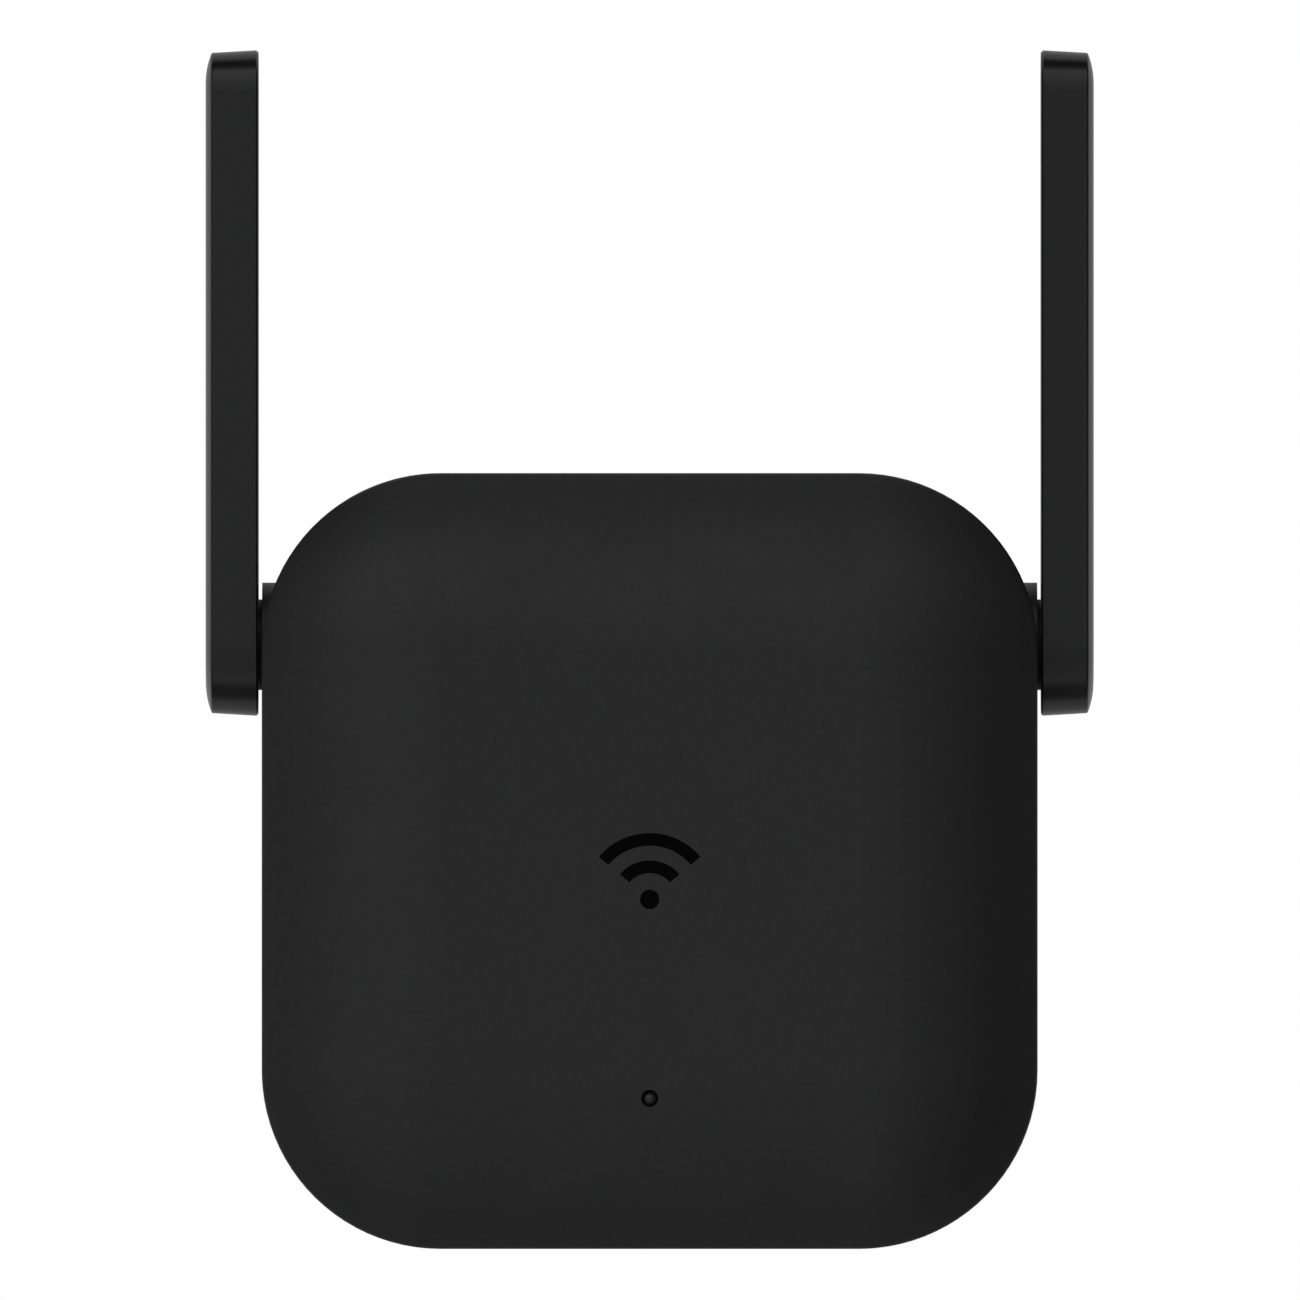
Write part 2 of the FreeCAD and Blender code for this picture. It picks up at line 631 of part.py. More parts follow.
def both_sides(obj, pattern_name):
    """Names a right-hand sub-part and adds its mirror image."""
    node(obj, pattern_name.format("right"))
    return mirrored(obj, pattern_name.format("left"))


# ---------------------------------------------------------------- plain solids for components


def block(name, x, depth, z, wide, deep, high):
    """A box centred on x and z, from depth towards the front by deep."""
    box = DOC.addObject("Part::Box", name)
    for prop, value in (
            ("Length", wide), ("Width", deep), ("Height", high),
            ("Placement.Base.x", dim(x) - dim(wide) / 2),
            ("Placement.Base.y", -(dim(depth) + deep)),
            ("Placement.Base.z", dim(z) - dim(high) / 2)):
        bind(box, prop, value)
    return box


ALONG = {"x": (Vector(0, 1, 0), 90), "front": (Vector(1, 0, 0), 90), "z": (Vector(0, 0, 1), 0)}


def rod(name, x, depth, z, radius, length, along):
    """A cylinder that starts at a point and runs along +x, to the front, or up."""
    cylinder = DOC.addObject("Part::Cylinder", name)
    cylinder.Placement = Placement(Vector(0, 0, 0), Rotation(*ALONG[along]))
    for prop, value in (
            ("Radius", radius), ("Height", length), ("Placement.Base.x", x),
            ("Placement.Base.y", -dim(depth)), ("Placement.Base.z", z)):
        bind(cylinder, prop, value)
    return cylinder


def box_part(name, board_face):
    """A box of the BOXES table, standing on a face at a given depth."""
    x, up, wide, deep, high = (getattr(D, f"{name}_{cell}") for cell in BOX_CELLS)
    return block(name, x, board_face, up, wide, deep, high)


def rod_part(name, board_face, along):
    """A cylinder of the RODS table, lying off a face at a given depth."""
    x, up, off, radius, length = (getattr(D, f"{name}_{cell}") for cell in ROD_CELLS)
    return rod(name, x, board_face + off, up, radius, length, along)


def ring(name, x, depth, z, outer, inner, length, along):
    solid = rod(f"{name}_solid", x, depth, z, outer, length, along)
    hole = rod(f"{name}_hole", x, depth, z, inner, length, along)
    return cut(name, solid, hole)


def cut(name, base, tool):
    result = DOC.addObject("Part::Cut", name)
    result.Base = base
    result.Tool = tool
    return result


def fuse(name, *parts):
    result = DOC.addObject("Part::MultiFuse", name)
    result.Shapes = list(parts)
    return result


def group(name, *parts):
    """Several separate solids kept as one sub-part."""
    result = DOC.addObject("Part::Compound", name)
    result.Links = list(parts)
    return result


def corners_of(points_x, points_z):
    """Every pairing of the given x and z places."""
    return [(x, z) for x in points_x for z in points_z]


# ---------------------------------------------------------------- housing

HALF = D.body_size / 2
CROWN_CENTRE = D.crown_front - D.crown_radius
CASE_SCREWS = corners_of((-D.post_x, D.post_x), (-D.post_z, D.post_z))
MAIN_SCREWS = corners_of((-D.main_screw_x, D.main_screw_x), (-D.main_screw_z, D.main_screw_z))
POWER_SCREWS = corners_of((-D.power_screw_x, D.power_screw_x), (D.power_screw_low, D.power_screw_top))
REAR_EDGE = D.seam_front - D.seam_gap
MAIN_FRONT = D.main_rear + D.main_thick
POWER_FRONT = D.power_rear + D.power_thick
BACK_FLOOR = D.back_depth + D.wall
HOLE_PLAY = 0.1
PAST = 1.0  # how far a cutting shape runs past the faces it cuts through
SUNK = 0.5  # how far a post or boss is sunk into the wall that it grows from
PIPE_SHOULDER = 6.0  # how far the light pipe's collar lies behind the front face
PIPE_GUIDE = 2.5  # how far its shoulder lies behind it
PIPE_BOSS = 5.0  # how far the boss that holds it reaches back
BOARD_SCREW_DEEP = 3.5  # depth of a board screw's hole


def crowned_block(name, start, inset_plan, inset_crown):
    """The front outline made solid and rounded off towards the front, inset by two amounts."""
    body = new_body(name)
    sketch = new_sketch(body, "XZ_Plane", start)
    draw_square(sketch, HALF - inset_plan, D.corner - inset_plan)
    pad(body, sketch, D.crown_front - inset_crown - start)
    dome = new_body(f"{name}_crown")
    sketch = new_sketch(dome, "XZ_Plane", CROWN_CENTRE - PAST)
    radius = D.crown_radius - inset_crown
    draw_square(sketch, HALF - D.corner + radius + D.oversize_play, radius + D.oversize_play)
    pad(dome, sketch, radius + PAST)
    round_edges(dome, radius, at_depth(D.crown_front - inset_crown))
    combine(body, "Common", dome)
    return body


def draw_mark(sketch):
    """A dot with two arcs fanned over it."""
    draw_circle(sketch, 0, D.mark_low, D.mark_dot)
    for inner in (D.mark_inner, D.mark_outer):
        draw_arc_slot(sketch, 0, D.mark_low, inner, inner + D.mark_stroke,
                      dim(90) - D.mark_spread, dim(90) + D.mark_spread)


def make_front_cover():
    body = crowned_block("front", D.seam_front, dim(0), dim(0))
    round_edges(body, D.rim_round, between_depths(D.seam_front + SUNK, D.crown_front - PAST))

    inside_half = D.wall + D.rear_step + D.tongue_play
    cavity = crowned_block("front_cavity", D.seam_front - PAST, inside_half, D.wall)
    for places, radius, start in (
            (CASE_SCREWS, D.post_r, REAR_EDGE), (MAIN_SCREWS, D.board_post_r, MAIN_FRONT),
            ([(0, -D.led_down)], D.pipe_holder_r, D.crown_front - PIPE_BOSS)):
        sketch = new_sketch(cavity, "XZ_Plane", start)
        for x, z in places:
            draw_circle(sketch, x, z, radius)
        pocket(cavity, sketch, D.crown_front - start, backwards=False)
    combine(body, "Cut", cavity)

    sketch = new_sketch(body, "XZ_Plane", D.seam_front - D.tongue_long)
    draw_square(sketch, HALF - inside_half, D.corner - inside_half)
    draw_square(sketch, HALF - inside_half - D.tongue_thick, D.corner - inside_half - D.tongue_thick)
    pad(body, sketch, D.tongue_long + D.tongue_root)
    sketch = new_sketch(body, "XZ_Plane", REAR_EDGE)
    for x, z in CASE_SCREWS:
        draw_circle(sketch, x, z, D.post_r)
    pad(body, sketch, D.seam_gap + SUNK)

    screw_tip = D.screw_seat + D.screw_long
    for places, radius, start, end in (
            (CASE_SCREWS, D.screw_r, REAR_EDGE, screw_tip + SUNK),
            (MAIN_SCREWS, D.board_screw_r, MAIN_FRONT, MAIN_FRONT + BOARD_SCREW_DEEP),
            ([(0, -D.led_down)], D.pipe_r + HOLE_PLAY / 2, D.crown_front - PIPE_SHOULDER,
             D.crown_front - PIPE_GUIDE + HOLE_PLAY),
            ([(0, -D.led_down)], D.led_hole_r, D.crown_front - PIPE_GUIDE - SUNK, D.crown_front + PAST)):
        sketch = new_sketch(body, "XZ_Plane", start)
        for x, z in places:
            draw_circle(sketch, x, z, radius)
        pocket(body, sketch, end - start, backwards=False)

    sketch = new_sketch(body, "XZ_Plane", D.crown_front - D.mark_deep)
    draw_mark(sketch)
    pocket(body, sketch, PAST, backwards=False)
    node(body, "front_cover")

    mark = new_body("mark")
    sketch = new_sketch(mark, "XZ_Plane", D.crown_front - D.mark_deep)
    draw_mark(sketch)
    pad(mark, sketch, D.mark_deep - D.mark_sink)
    node(mark, "front_mark")


def draw_boss(sketch, inset):
    """The plug's outline: long flats above and below, short flats at the ends, slanted between."""
    wide, high = D.boss_wide / 2 - inset, D.boss_high / 2 - inset
    flat, tip = (D.boss_flat - inset) / 2, D.boss_tip / 2
    draw_polygon(sketch, [
        (wide, tip), (flat, high), (-flat, high), (-wide, tip),
        (-wide, -tip), (-flat, -high), (flat, -high), (wide, -tip)])


VENT_COUNT = 9
FIN_COUNT = 11


def make_rear_cover():
    body = new_body("rear")
    sketch = new_sketch(body, "XZ_Plane", REAR_EDGE)
    outer = HALF - D.rear_step
    draw_square(sketch, outer, D.corner - D.rear_step)
    pad(body, sketch, REAR_EDGE - D.back_depth, backwards=True, draft=-D.rear_draft)
    round_edges(body, D.back_round, at_depth(D.back_depth))

    sketch = new_sketch(body, "XZ_Plane", 0)
    draw_boss(sketch, dim(0))
    pad(body, sketch, D.back_depth + PAST, draft=D.boss_draft)
    round_edges(body, D.boss_round, leaving_depth(0))
    round_edges(body, 0.6, at_depth(0))

    sketch = new_sketch(body, "XZ_Plane", REAR_EDGE)
    draw_square(sketch, outer - D.wall, D.corner - D.rear_step - D.wall)
    hollow = pocket(body, sketch, REAR_EDGE - BACK_FLOOR, backwards=True)
    bind(hollow, "TaperAngle", -D.rear_draft)
    sketch = new_sketch(body, "XZ_Plane", D.wall)
    draw_boss(sketch, D.wall)
    pocket(body, sketch, D.back_depth, backwards=False)

    for side in (-1, 1):
        start = D.knuckle_in if side > 0 else -HALF
        sketch = new_sketch(body, "YZ_Plane", start)
        draw_circle(sketch, -D.hinge_depth, D.hinge_up, D.knuckle_r)
        pad(body, sketch, HALF - D.knuckle_in)
    for places, radius, top in (
            (CASE_SCREWS, D.post_r, REAR_EDGE), (POWER_SCREWS, D.board_post_r, D.power_rear)):
        sketch = new_sketch(body, "XZ_Plane", BACK_FLOOR - SUNK)
        for x, z in places:
            draw_circle(sketch, x, z, radius)
        pad(body, sketch, top - BACK_FLOOR + SUNK)

    holes = (
        (CASE_SCREWS, D.screw_head_r + HOLE_PLAY * 2, D.back_depth - PAST, D.screw_seat),
        (CASE_SCREWS, D.screw_r + HOLE_PLAY * 2, D.screw_seat - PAST, REAR_EDGE + PAST),
        (POWER_SCREWS, D.board_screw_r, POWER_FRONT - BOARD_SCREW_DEEP - SUNK, D.power_rear + PAST),
        ([(-D.pin_pitch / 2, 0), (D.pin_pitch / 2, 0)], D.sleeve_r, dim(-PAST), D.wall + PAST))
    for places, radius, start, end in holes:
        sketch = new_sketch(body, "XZ_Plane", start)
        for x, z in places:
            draw_circle(sketch, x, z, radius)
        pocket(body, sketch, end - start, backwards=False)

    cut_hinge_bores(body)
    cut_vents(body)

    sketch = new_sketch(body, "XY_Plane", -HALF - PAST)
    draw_circle(sketch, D.reset_side, -D.reset_depth, D.reset_r)
    pocket(body, sketch, D.wall * 2 + PAST, backwards=False)
    sketch = new_sketch(body, "XZ_Plane", D.back_depth - PAST)
    draw_rectangle(sketch, -D.label_wide / 2, D.label_up - D.label_high / 2,
                   D.label_wide / 2, D.label_up + D.label_high / 2)
    pocket(body, sketch, D.label_recess + PAST, backwards=False)
    node(body, "rear_cover")

    label = block("label", 0, D.back_depth + D.label_recess - D.label_thick, D.label_up,
                  D.label_wide - HOLE_PLAY * 4, D.label_thick, D.label_high - HOLE_PLAY * 4)
    node(label, "rating_label")


def cut_hinge_bores(body):
    """The bush's seat, the journal's clearance, the neck's recess and the stop groove, on each side."""
    bores = (
        (D.bush_r, D.knuckle_in - PAST, D.bush_end),
        (D.journal_r + HOLE_PLAY * 2, D.bush_end - PAST, D.recess_floor + PAST),
        (D.recess_r, D.recess_floor, HALF + PAST))
    for side in (-1, 1):
        for radius, start, end in bores:
            sketch = new_sketch(body, "YZ_Plane", start if side > 0 else -end)
            draw_circle(sketch, -D.hinge_depth, D.hinge_up, radius)
            pocket(body, sketch, end - start, backwards=False)
        start, end = D.stop_floor, D.recess_floor + SUNK
        sketch = new_sketch(body, "YZ_Plane", start if side > 0 else -end)
        reach = D.stop_lug_half + D.stop_play
        draw_arc_slot(sketch, -D.hinge_depth, D.hinge_up, D.stop_inner_r, D.stop_outer_r,
                      dim(90) - reach, dim(270) + reach)
        pocket(body, sketch, end - start, backwards=False)


def cut_vents(body):
    """A row of upright slots in the back wall, and a row of short ones in the top and bottom walls."""
    last = (VENT_COUNT - 1) / 2
    left = -D.back_vent_pitch * last
    half = D.back_vent_wide / 2
    sketch = new_sketch(body, "XZ_Plane", D.back_depth - PAST)
    draw_rectangle(sketch, left - half, D.back_vent_low, left + half, D.back_vent_high)
    slot = pocket(body, sketch, D.wall + PAST * 2, backwards=False)
    pattern(body, slot, "X_Axis", D.back_vent_pitch, VENT_COUNT)
    left = -D.side_vent_pitch * last
    half = D.side_vent_wide / 2
    for base in (-HALF - PAST, HALF - D.wall * 2 - PAST):
        sketch = new_sketch(body, "XY_Plane", base)
        draw_rectangle(sketch, left - half, -D.side_vent_far, left + half, -D.side_vent_near)
        slot = pocket(body, sketch, D.wall * 2 + PAST * 2, backwards=False)
        pattern(body, slot, "X_Axis", D.side_vent_pitch, VENT_COUNT)


# ---------------------------------------------------------------- plug


def make_plug():
    """The two pins with their sleeves, the block that holds them, and the blades to the power board."""
    pin = new_body("pin")
    sketch = new_sketch(pin, "XY_Plane")
    draw_polygon(sketch, [
        (0, D.pin_long), (D.pin_r, D.pin_long), (D.pin_r, D.sleeve_long), (D.pin_core_r, D.sleeve_long),
        (D.pin_core_r, -D.wall), (D.pin_flange_r, -D.wall), (D.pin_flange_r, -D.wall - D.pin_flange),
        (D.pin_tail_r, -D.wall - D.pin_flange), (D.pin_tail_r, -D.pin_tail), (0, -D.pin_tail)])
    revolve(pin, sketch, "V_Axis")
    round_edges(pin, 1.4, at_depth(-D.pin_long))
    bind(pin, "Placement.Base.x", D.pin_pitch / 2)
    both_sides(pin, "plug_pin_{}")

    half_pitch = D.pin_pitch / 2
    sleeve = ring("sleeve", half_pitch, -D.sleeve_long, 0, D.sleeve_r, D.pin_core_r,
                  D.sleeve_long + D.wall, "front")
    both_sides(sleeve, "pin_sleeve_{}")

    start = D.wall + D.pin_flange
    solid = block("carrier_solid", 0, start, 0, D.carrier_wide, D.carrier_thick, D.carrier_high)
    holes = [rod(f"carrier_hole_{k}", x, start, 0, D.pin_tail_r, D.carrier_thick, "front")
             for k, x in enumerate((-half_pitch, half_pitch))]
    node(cut("carrier", solid, fuse("carrier_holes", *holes)), "pin_carrier")

    blade = new_body("blade")
    sketch = new_sketch(blade, "XY_Plane", -D.blade_wide / 2)
    near = half_pitch + D.pin_tail_r
    far = near + D.blade_thick
    foot = D.power_rear - D.blade_thick
    draw_polygon(sketch, [
        (near, -D.blade_reach), (far, -D.blade_reach), (far, -foot), (far + D.blade_foot, -foot),
        (far + D.blade_foot, -D.power_rear), (near, -D.power_rear)])
    pad(blade, sketch, D.blade_wide)
    both_sides(blade, "contact_blade_{}")


# ---------------------------------------------------------------- boards and what they carry


def board(name, left, low, right, top, radius, rear, thick, screws):
    body = new_body(name)
    sketch = new_sketch(body, "XZ_Plane", rear)
    draw_round_rectangle(sketch, left, low, right, top, radius)
    for x, z in screws:
        draw_circle(sketch, x, z, D.board_screw_r + HOLE_PLAY)
    pad(body, sketch, thick)
    return body


def make_power_board():
    half = D.power_wide / 2
    power = board("power", -half, D.power_low, half, D.power_top, 2.0, D.power_rear, D.power_thick,
                  POWER_SCREWS)
    node(power, "power_board")
    front = POWER_FRONT

    # The transformer: a rectangular ferrite loop round a wound bobbin.
    inside = (D.core_deep - D.winding_deep) / 2
    winding = box_part("winding", front + inside)
    node(winding, "transformer_winding")
    window = block("core_window", D.core_x, front + inside, D.core_up, D.winding_wide, D.winding_deep,
                   D.core_high)
    node(cut("core_loop", box_part("core", front), window), "transformer_core")

    cans = [rod_part(name, front, "z") for name in ("bulk_one", "bulk_two")]
    node(group("bulk", *cans), "bulk_capacitors")
    node(rod_part("output", front, "z"), "output_capacitor")
    node(rod_part("fuse", front, "x"), "fuse_resistor")
    node(rod_part("disc", front, "x"), "y_capacitor")
    for name, label in (
            ("bridge", "bridge_rectifier"), ("controller", "controller_chip"), ("isolator", "optocoupler")):
        node(box_part(name, front), label)
    drum = [rod(f"drum_{name}", DRUM_X, front + start, DRUM_UP, radius, length, "front")
            for name, start, radius, length in DRUM]
    node(fuse("drum", *drum), "filter_inductor")

    length = D.main_rear - front
    pins = [block(f"header_pin_{k}", D.header_pitch * (k - 1.5), front, D.header_up, D.header_pin, length,
                  D.header_pin) for k in range(4)]
    header_pins = group("header_pins", *pins)
    shroud = block("header_shroud", 0, front, D.header_up, D.header_wide, length - 2, D.header_high)
    node(cut("header", shroud, header_pins), "power_header")
    node(header_pins, "power_header_pins")
    node(box_part("film", D.main_rear - D.film_deep), "insulation_sheet")


def make_main_board():
    half_wide, half_high = D.main_wide / 2, D.main_high / 2
    main = board("main", -half_wide, -half_high, half_wide, half_high, D.main_corner, D.main_rear,
                 D.main_thick, MAIN_SCREWS)
    node(main, "main_board")
    front = MAIN_FRONT

    can_top = front + D.can_deep
    inside = block("can_inside", D.can_x, front, D.can_up, D.can_wide - D.can_sheet * 2,
                   D.can_deep - D.can_sheet, D.can_high - D.can_sheet * 2)
    node(cut("can_shell", box_part("can", front), inside), "shield_can")
    node(box_part("wifi", front), "wifi_chip")
    node(box_part("inner_pad", front + D.wifi_deep), "inner_thermal_pad")
    node(box_part("outer_pad", can_top), "outer_thermal_pad")
    make_heatsink(can_top + D.outer_pad_deep)
    node(box_part("flash", front), "flash_chip")
    node(box_part("crystal", front), "crystal")
    node(block("led", 0, front, -D.led_down, 1.6, 0.7, 0.8), "status_led")

    pipe = new_body("pipe")
    sketch = new_sketch(pipe, "XY_Plane")
    base, flange = MAIN_FRONT + D.pipe_lift, D.crown_front - PIPE_SHOULDER
    shoulder, tip = D.crown_front - PIPE_GUIDE, D.crown_front - D.pipe_sink
    draw_polygon(sketch, [
        (0, -base), (D.pipe_r, -base), (D.pipe_r, -flange), (D.pipe_holder_r, -flange),
        (D.pipe_holder_r, -flange - D.pipe_collar), (D.pipe_r, -flange - D.pipe_collar), (D.pipe_r, -shoulder),
        (D.pipe_tip_r, -shoulder), (D.pipe_tip_r, -tip), (0, -tip)])
    revolve(pipe, sketch, "V_Axis")
    round_edges(pipe, D.pipe_dome, at_depth(tip))
    bind(pipe, "Placement.Base.z", -D.led_down)
    node(pipe, "light_pipe")


def make_heatsink(start):
    """A finned aluminium plate on the shield can."""
    left, low, top = -D.sink_wide / 2, D.sink_up - D.sink_high / 2, D.sink_up + D.sink_high / 2
    body = new_body("finned")
    sketch = new_sketch(body, "XZ_Plane", start)
    draw_rectangle(sketch, left, low, D.sink_wide / 2, top)
    pad(body, sketch, D.sink_base)
    sketch = new_sketch(body, "XZ_Plane", start + D.sink_base)
    draw_rectangle(sketch, left, low, left + D.sink_fin_wide, top)
    fin = pad(body, sketch, D.sink_deep - D.sink_base)
    pattern(body, fin, "X_Axis", D.sink_fin_pitch, FIN_COUNT)
    node(body, "heatsink")


def make_reset_switch():
    """A sideways push switch on the back of the main board, with its plunger facing the bottom wall."""
    low = -D.main_high / 2
    deep = D.main_rear - D.reset_depth + D.switch_past
    solid = block("switch_solid", D.reset_side, D.main_rear - deep, low + D.switch_high / 2,
                  D.switch_wide, deep, D.switch_high)
    bore = rod("switch_bore", D.reset_side, D.reset_depth, low, D.switch_bore_r, D.switch_bore, "z")
    node(cut("switch", solid, bore), "reset_switch")
    plunger = rod("plunger", D.reset_side, D.reset_depth, low - D.plunger_out, D.plunger_r, D.plunger_long, "z")
    node(plunger, "reset_plunger")


# ---------------------------------------------------------------- screws


def screw(name, x, z, seat, head_r, head, shank_r, shank, forwards):
    """A pan-head screw under a flat seat, pointing to the front or to the back."""
    body = new_body(name)
    sketch = new_sketch(body, "XY_Plane")
    way = 1 if forwards else -1
    draw_polygon(sketch, [
        (0, dim(head) * way), (head_r, dim(head) * way), (head_r, 0), (shank_r, 0),
        (shank_r, -dim(shank) * way), (0, -dim(shank) * way)])
    revolve(body, sketch, "V_Axis")
    slot = head_r * 0.7
    sketch = new_sketch(body, "XZ_Plane", -dim(head) * way)
    draw_polygon(sketch, [
        (slot, -0.25), (slot, 0.25), (0.25, 0.25), (0.25, slot), (-0.25, slot), (-0.25, 0.25),
        (-slot, 0.25), (-slot, -0.25), (-0.25, -0.25), (-0.25, -slot), (0.25, -slot), (0.25, -0.25)])
    pocket(body, sketch, dim(head) * 0.6, backwards=not forwards)
    for axis, value in (("x", x), ("y", -dim(seat)), ("z", z)):
        bind(body, f"Placement.Base.{axis}", value)
    return body


def make_screws():
    case = [screw(f"case_screw_{k}", x, z, D.screw_seat, D.screw_head_r, D.screw_head, D.screw_r,
                  D.screw_long, True) for k, (x, z) in enumerate(CASE_SCREWS)]
    node(group("case_screw_set", *case), "case_screws")
    main = [screw(f"board_screw_{k}", x, z, D.main_rear, D.board_screw_head_r, D.board_screw_head,
                  D.board_screw_r, dim(4), True) for k, (x, z) in enumerate(MAIN_SCREWS)]
    node(group("board_screw_set", *main), "board_screws")
    power = [screw(f"power_screw_{k}", x, z, POWER_FRONT, D.board_screw_head_r, D.board_screw_head,
                   D.board_screw_r, dim(3.8), False) for k, (x, z) in enumerate(POWER_SCREWS)]
    node(group("power_screw_set", *power), "power_board_screws")


# ---------------------------------------------------------------- antennas


def on_hinge(obj):
    """Puts a sub-part that was modelled about the hinge axis into its place."""
    bind(obj, "Placement.Base.y", -D.hinge_depth)
    bind(obj, "Placement.Base.z", D.hinge_up)
    return obj


EDGE_INSET = (D.paddle_edge - D.paddle_in) * tangent(D.paddle_draft)
CAVITY_HALF = D.paddle_half - EDGE_INSET - D.paddle_wall
CAVITY_TOP = D.paddle_top - EDGE_INSET - D.paddle_wall
CAVITY_CORNER = D.paddle_corner - EDGE_INSET - D.paddle_wall
PADDLE_FLOOR = D.paddle_in + D.paddle_wall
RIB_PLACES = ((-2.9, 14.0), (2.9, 14.0), (0, 54.0))


def make_antenna_housing():
    body = new_body("paddle")
    sketch = new_sketch(body, "YZ_Plane", D.paddle_in)
    draw_paddle(sketch, D.paddle_half, D.paddle_top, D.paddle_corner)
    pad(body, sketch, D.paddle_edge - D.paddle_in, draft=-D.paddle_draft)
    bevel_edges(body, D.paddle_bevel, at_side(D.paddle_in))
    sketch = new_sketch(body, "YZ_Plane", PADDLE_FLOOR)
    draw_paddle(sketch, CAVITY_HALF, CAVITY_TOP, CAVITY_CORNER)
    pocket(body, sketch, D.paddle_edge - PADDLE_FLOOR + PAST, backwards=False)

    sketch = new_sketch(body, "XY_Plane")
    neck = D.paddle_in + 0.1
    clip_out = D.clip_in + D.clip_thick
    draw_polygon(sketch, [
        (D.journal_in, 0), (D.journal_in, D.journal_r), (D.clip_in, D.journal_r),
        (D.clip_in, D.clip_groove_r), (clip_out, D.clip_groove_r), (clip_out, D.journal_r),
        (D.neck_inner, D.journal_r), (D.neck_inner, D.neck_r), (neck, D.neck_r), (neck, 0)])
    revolve(body, sketch, "H_Axis")
    sketch = new_sketch(body, "YZ_Plane", D.stop_lug)
    draw_arc_slot(sketch, 0, 0, D.journal_r - 0.2, D.stop_outer_r - HOLE_PLAY,
                  dim(90) - D.stop_lug_half, dim(90) + D.stop_lug_half)
    pad(body, sketch, D.neck_inner - D.stop_lug + 0.2)
    sketch = new_sketch(body, "YZ_Plane", PADDLE_FLOOR - 0.2)
    for y, z in RIB_PLACES:
        draw_circle(sketch, y, z, D.rib_r)
    pad(body, sketch, D.coax_lane + D.coax_r - PADDLE_FLOOR + 0.2)
    for radius, start in ((D.journal_bore, D.journal_in - PAST), (D.cable_dip_r, PADDLE_FLOOR - D.cable_dip)):
        sketch = new_sketch(body, "YZ_Plane", start)
        draw_circle(sketch, 0, 0, radius)
        pocket(body, sketch, PADDLE_FLOOR + SUNK - start, backwards=False)
    both_sides(on_hinge(body), "antenna_{}_housing")


def make_antenna_cover():
    """The lid: a thin plate with a rounded-off margin, and a step that locates it in the housing."""
    lid = new_body("lid")
    sketch = new_sketch(lid, "YZ_Plane", D.paddle_edge)
    half, top = D.paddle_half - EDGE_INSET, D.paddle_top - EDGE_INSET
    corner = D.paddle_corner - EDGE_INSET
    draw_paddle(sketch, half, top, corner)
    pad(lid, sketch, D.paddle_out - D.paddle_edge)
    crown = new_body("lid_crown")
    spread = D.lid_round - D.lid_span
    sketch = new_sketch(crown, "YZ_Plane", D.paddle_out - D.lid_round - PAST)
    draw_paddle(sketch, half + spread, top + spread, corner + spread)
    pad(crown, sketch, D.lid_round + PAST)
    round_edges(crown, D.lid_round, at_side(D.paddle_out))
    combine(lid, "Common", crown)
    round_edges(lid, D.lid_soft, between_sides(D.paddle_edge + D.lid_play, D.paddle_out - D.lid_play))
    sketch = new_sketch(lid, "YZ_Plane", D.paddle_edge - D.lid_plug)
    draw_paddle(sketch, CAVITY_HALF - D.lid_play, CAVITY_TOP - D.lid_play, CAVITY_CORNER - D.lid_play)
    pad(lid, sketch, D.lid_plug + 0.1)
    both_sides(on_hinge(lid), "antenna_{}_cover")


def make_hinge():
    """The bush pressed into the knuckle, and the washer and clip that hold the journal in it."""
    pieces = (
        ("bush", D.knuckle_in, D.bush_r, D.journal_r + D.journal_play, D.bush_end - D.knuckle_in),
        ("washer", D.knuckle_in - D.washer_thick - HOLE_PLAY, D.clip_r, D.journal_r + D.journal_play,
         D.washer_thick),
        ("clip", D.clip_in, D.clip_r, D.clip_groove_r, D.clip_thick))
    for name, start, outer, inner, length in pieces:
        piece = ring(name, start, D.hinge_depth, D.hinge_up, outer, inner, length, "x")
        if name == "clip":
            opening = block("clip_opening", start + length / 2, D.hinge_depth - 1.6,
                            D.hinge_up - D.clip_r, length, dim(3.2), D.clip_r * 2)
            piece = cut("open_clip", piece, opening)
        both_sides(piece, f"hinge_{name}_{{}}")


def sweep_cable(body, path, start, y, z):
    """Sweeps the cable's round section, which starts at (start, y, z), along a path."""
    section = new_sketch(body, "YZ_Plane", start)
    draw_circle(section, y, z, D.coax_r)
    feature = body.newObject("PartDesign::AdditivePipe", f"{body.Name}_sweep")
    feature.Profile = section
    feature.Spine = (path, [])
    path.Visibility = False
    return finish_feature(feature, section)


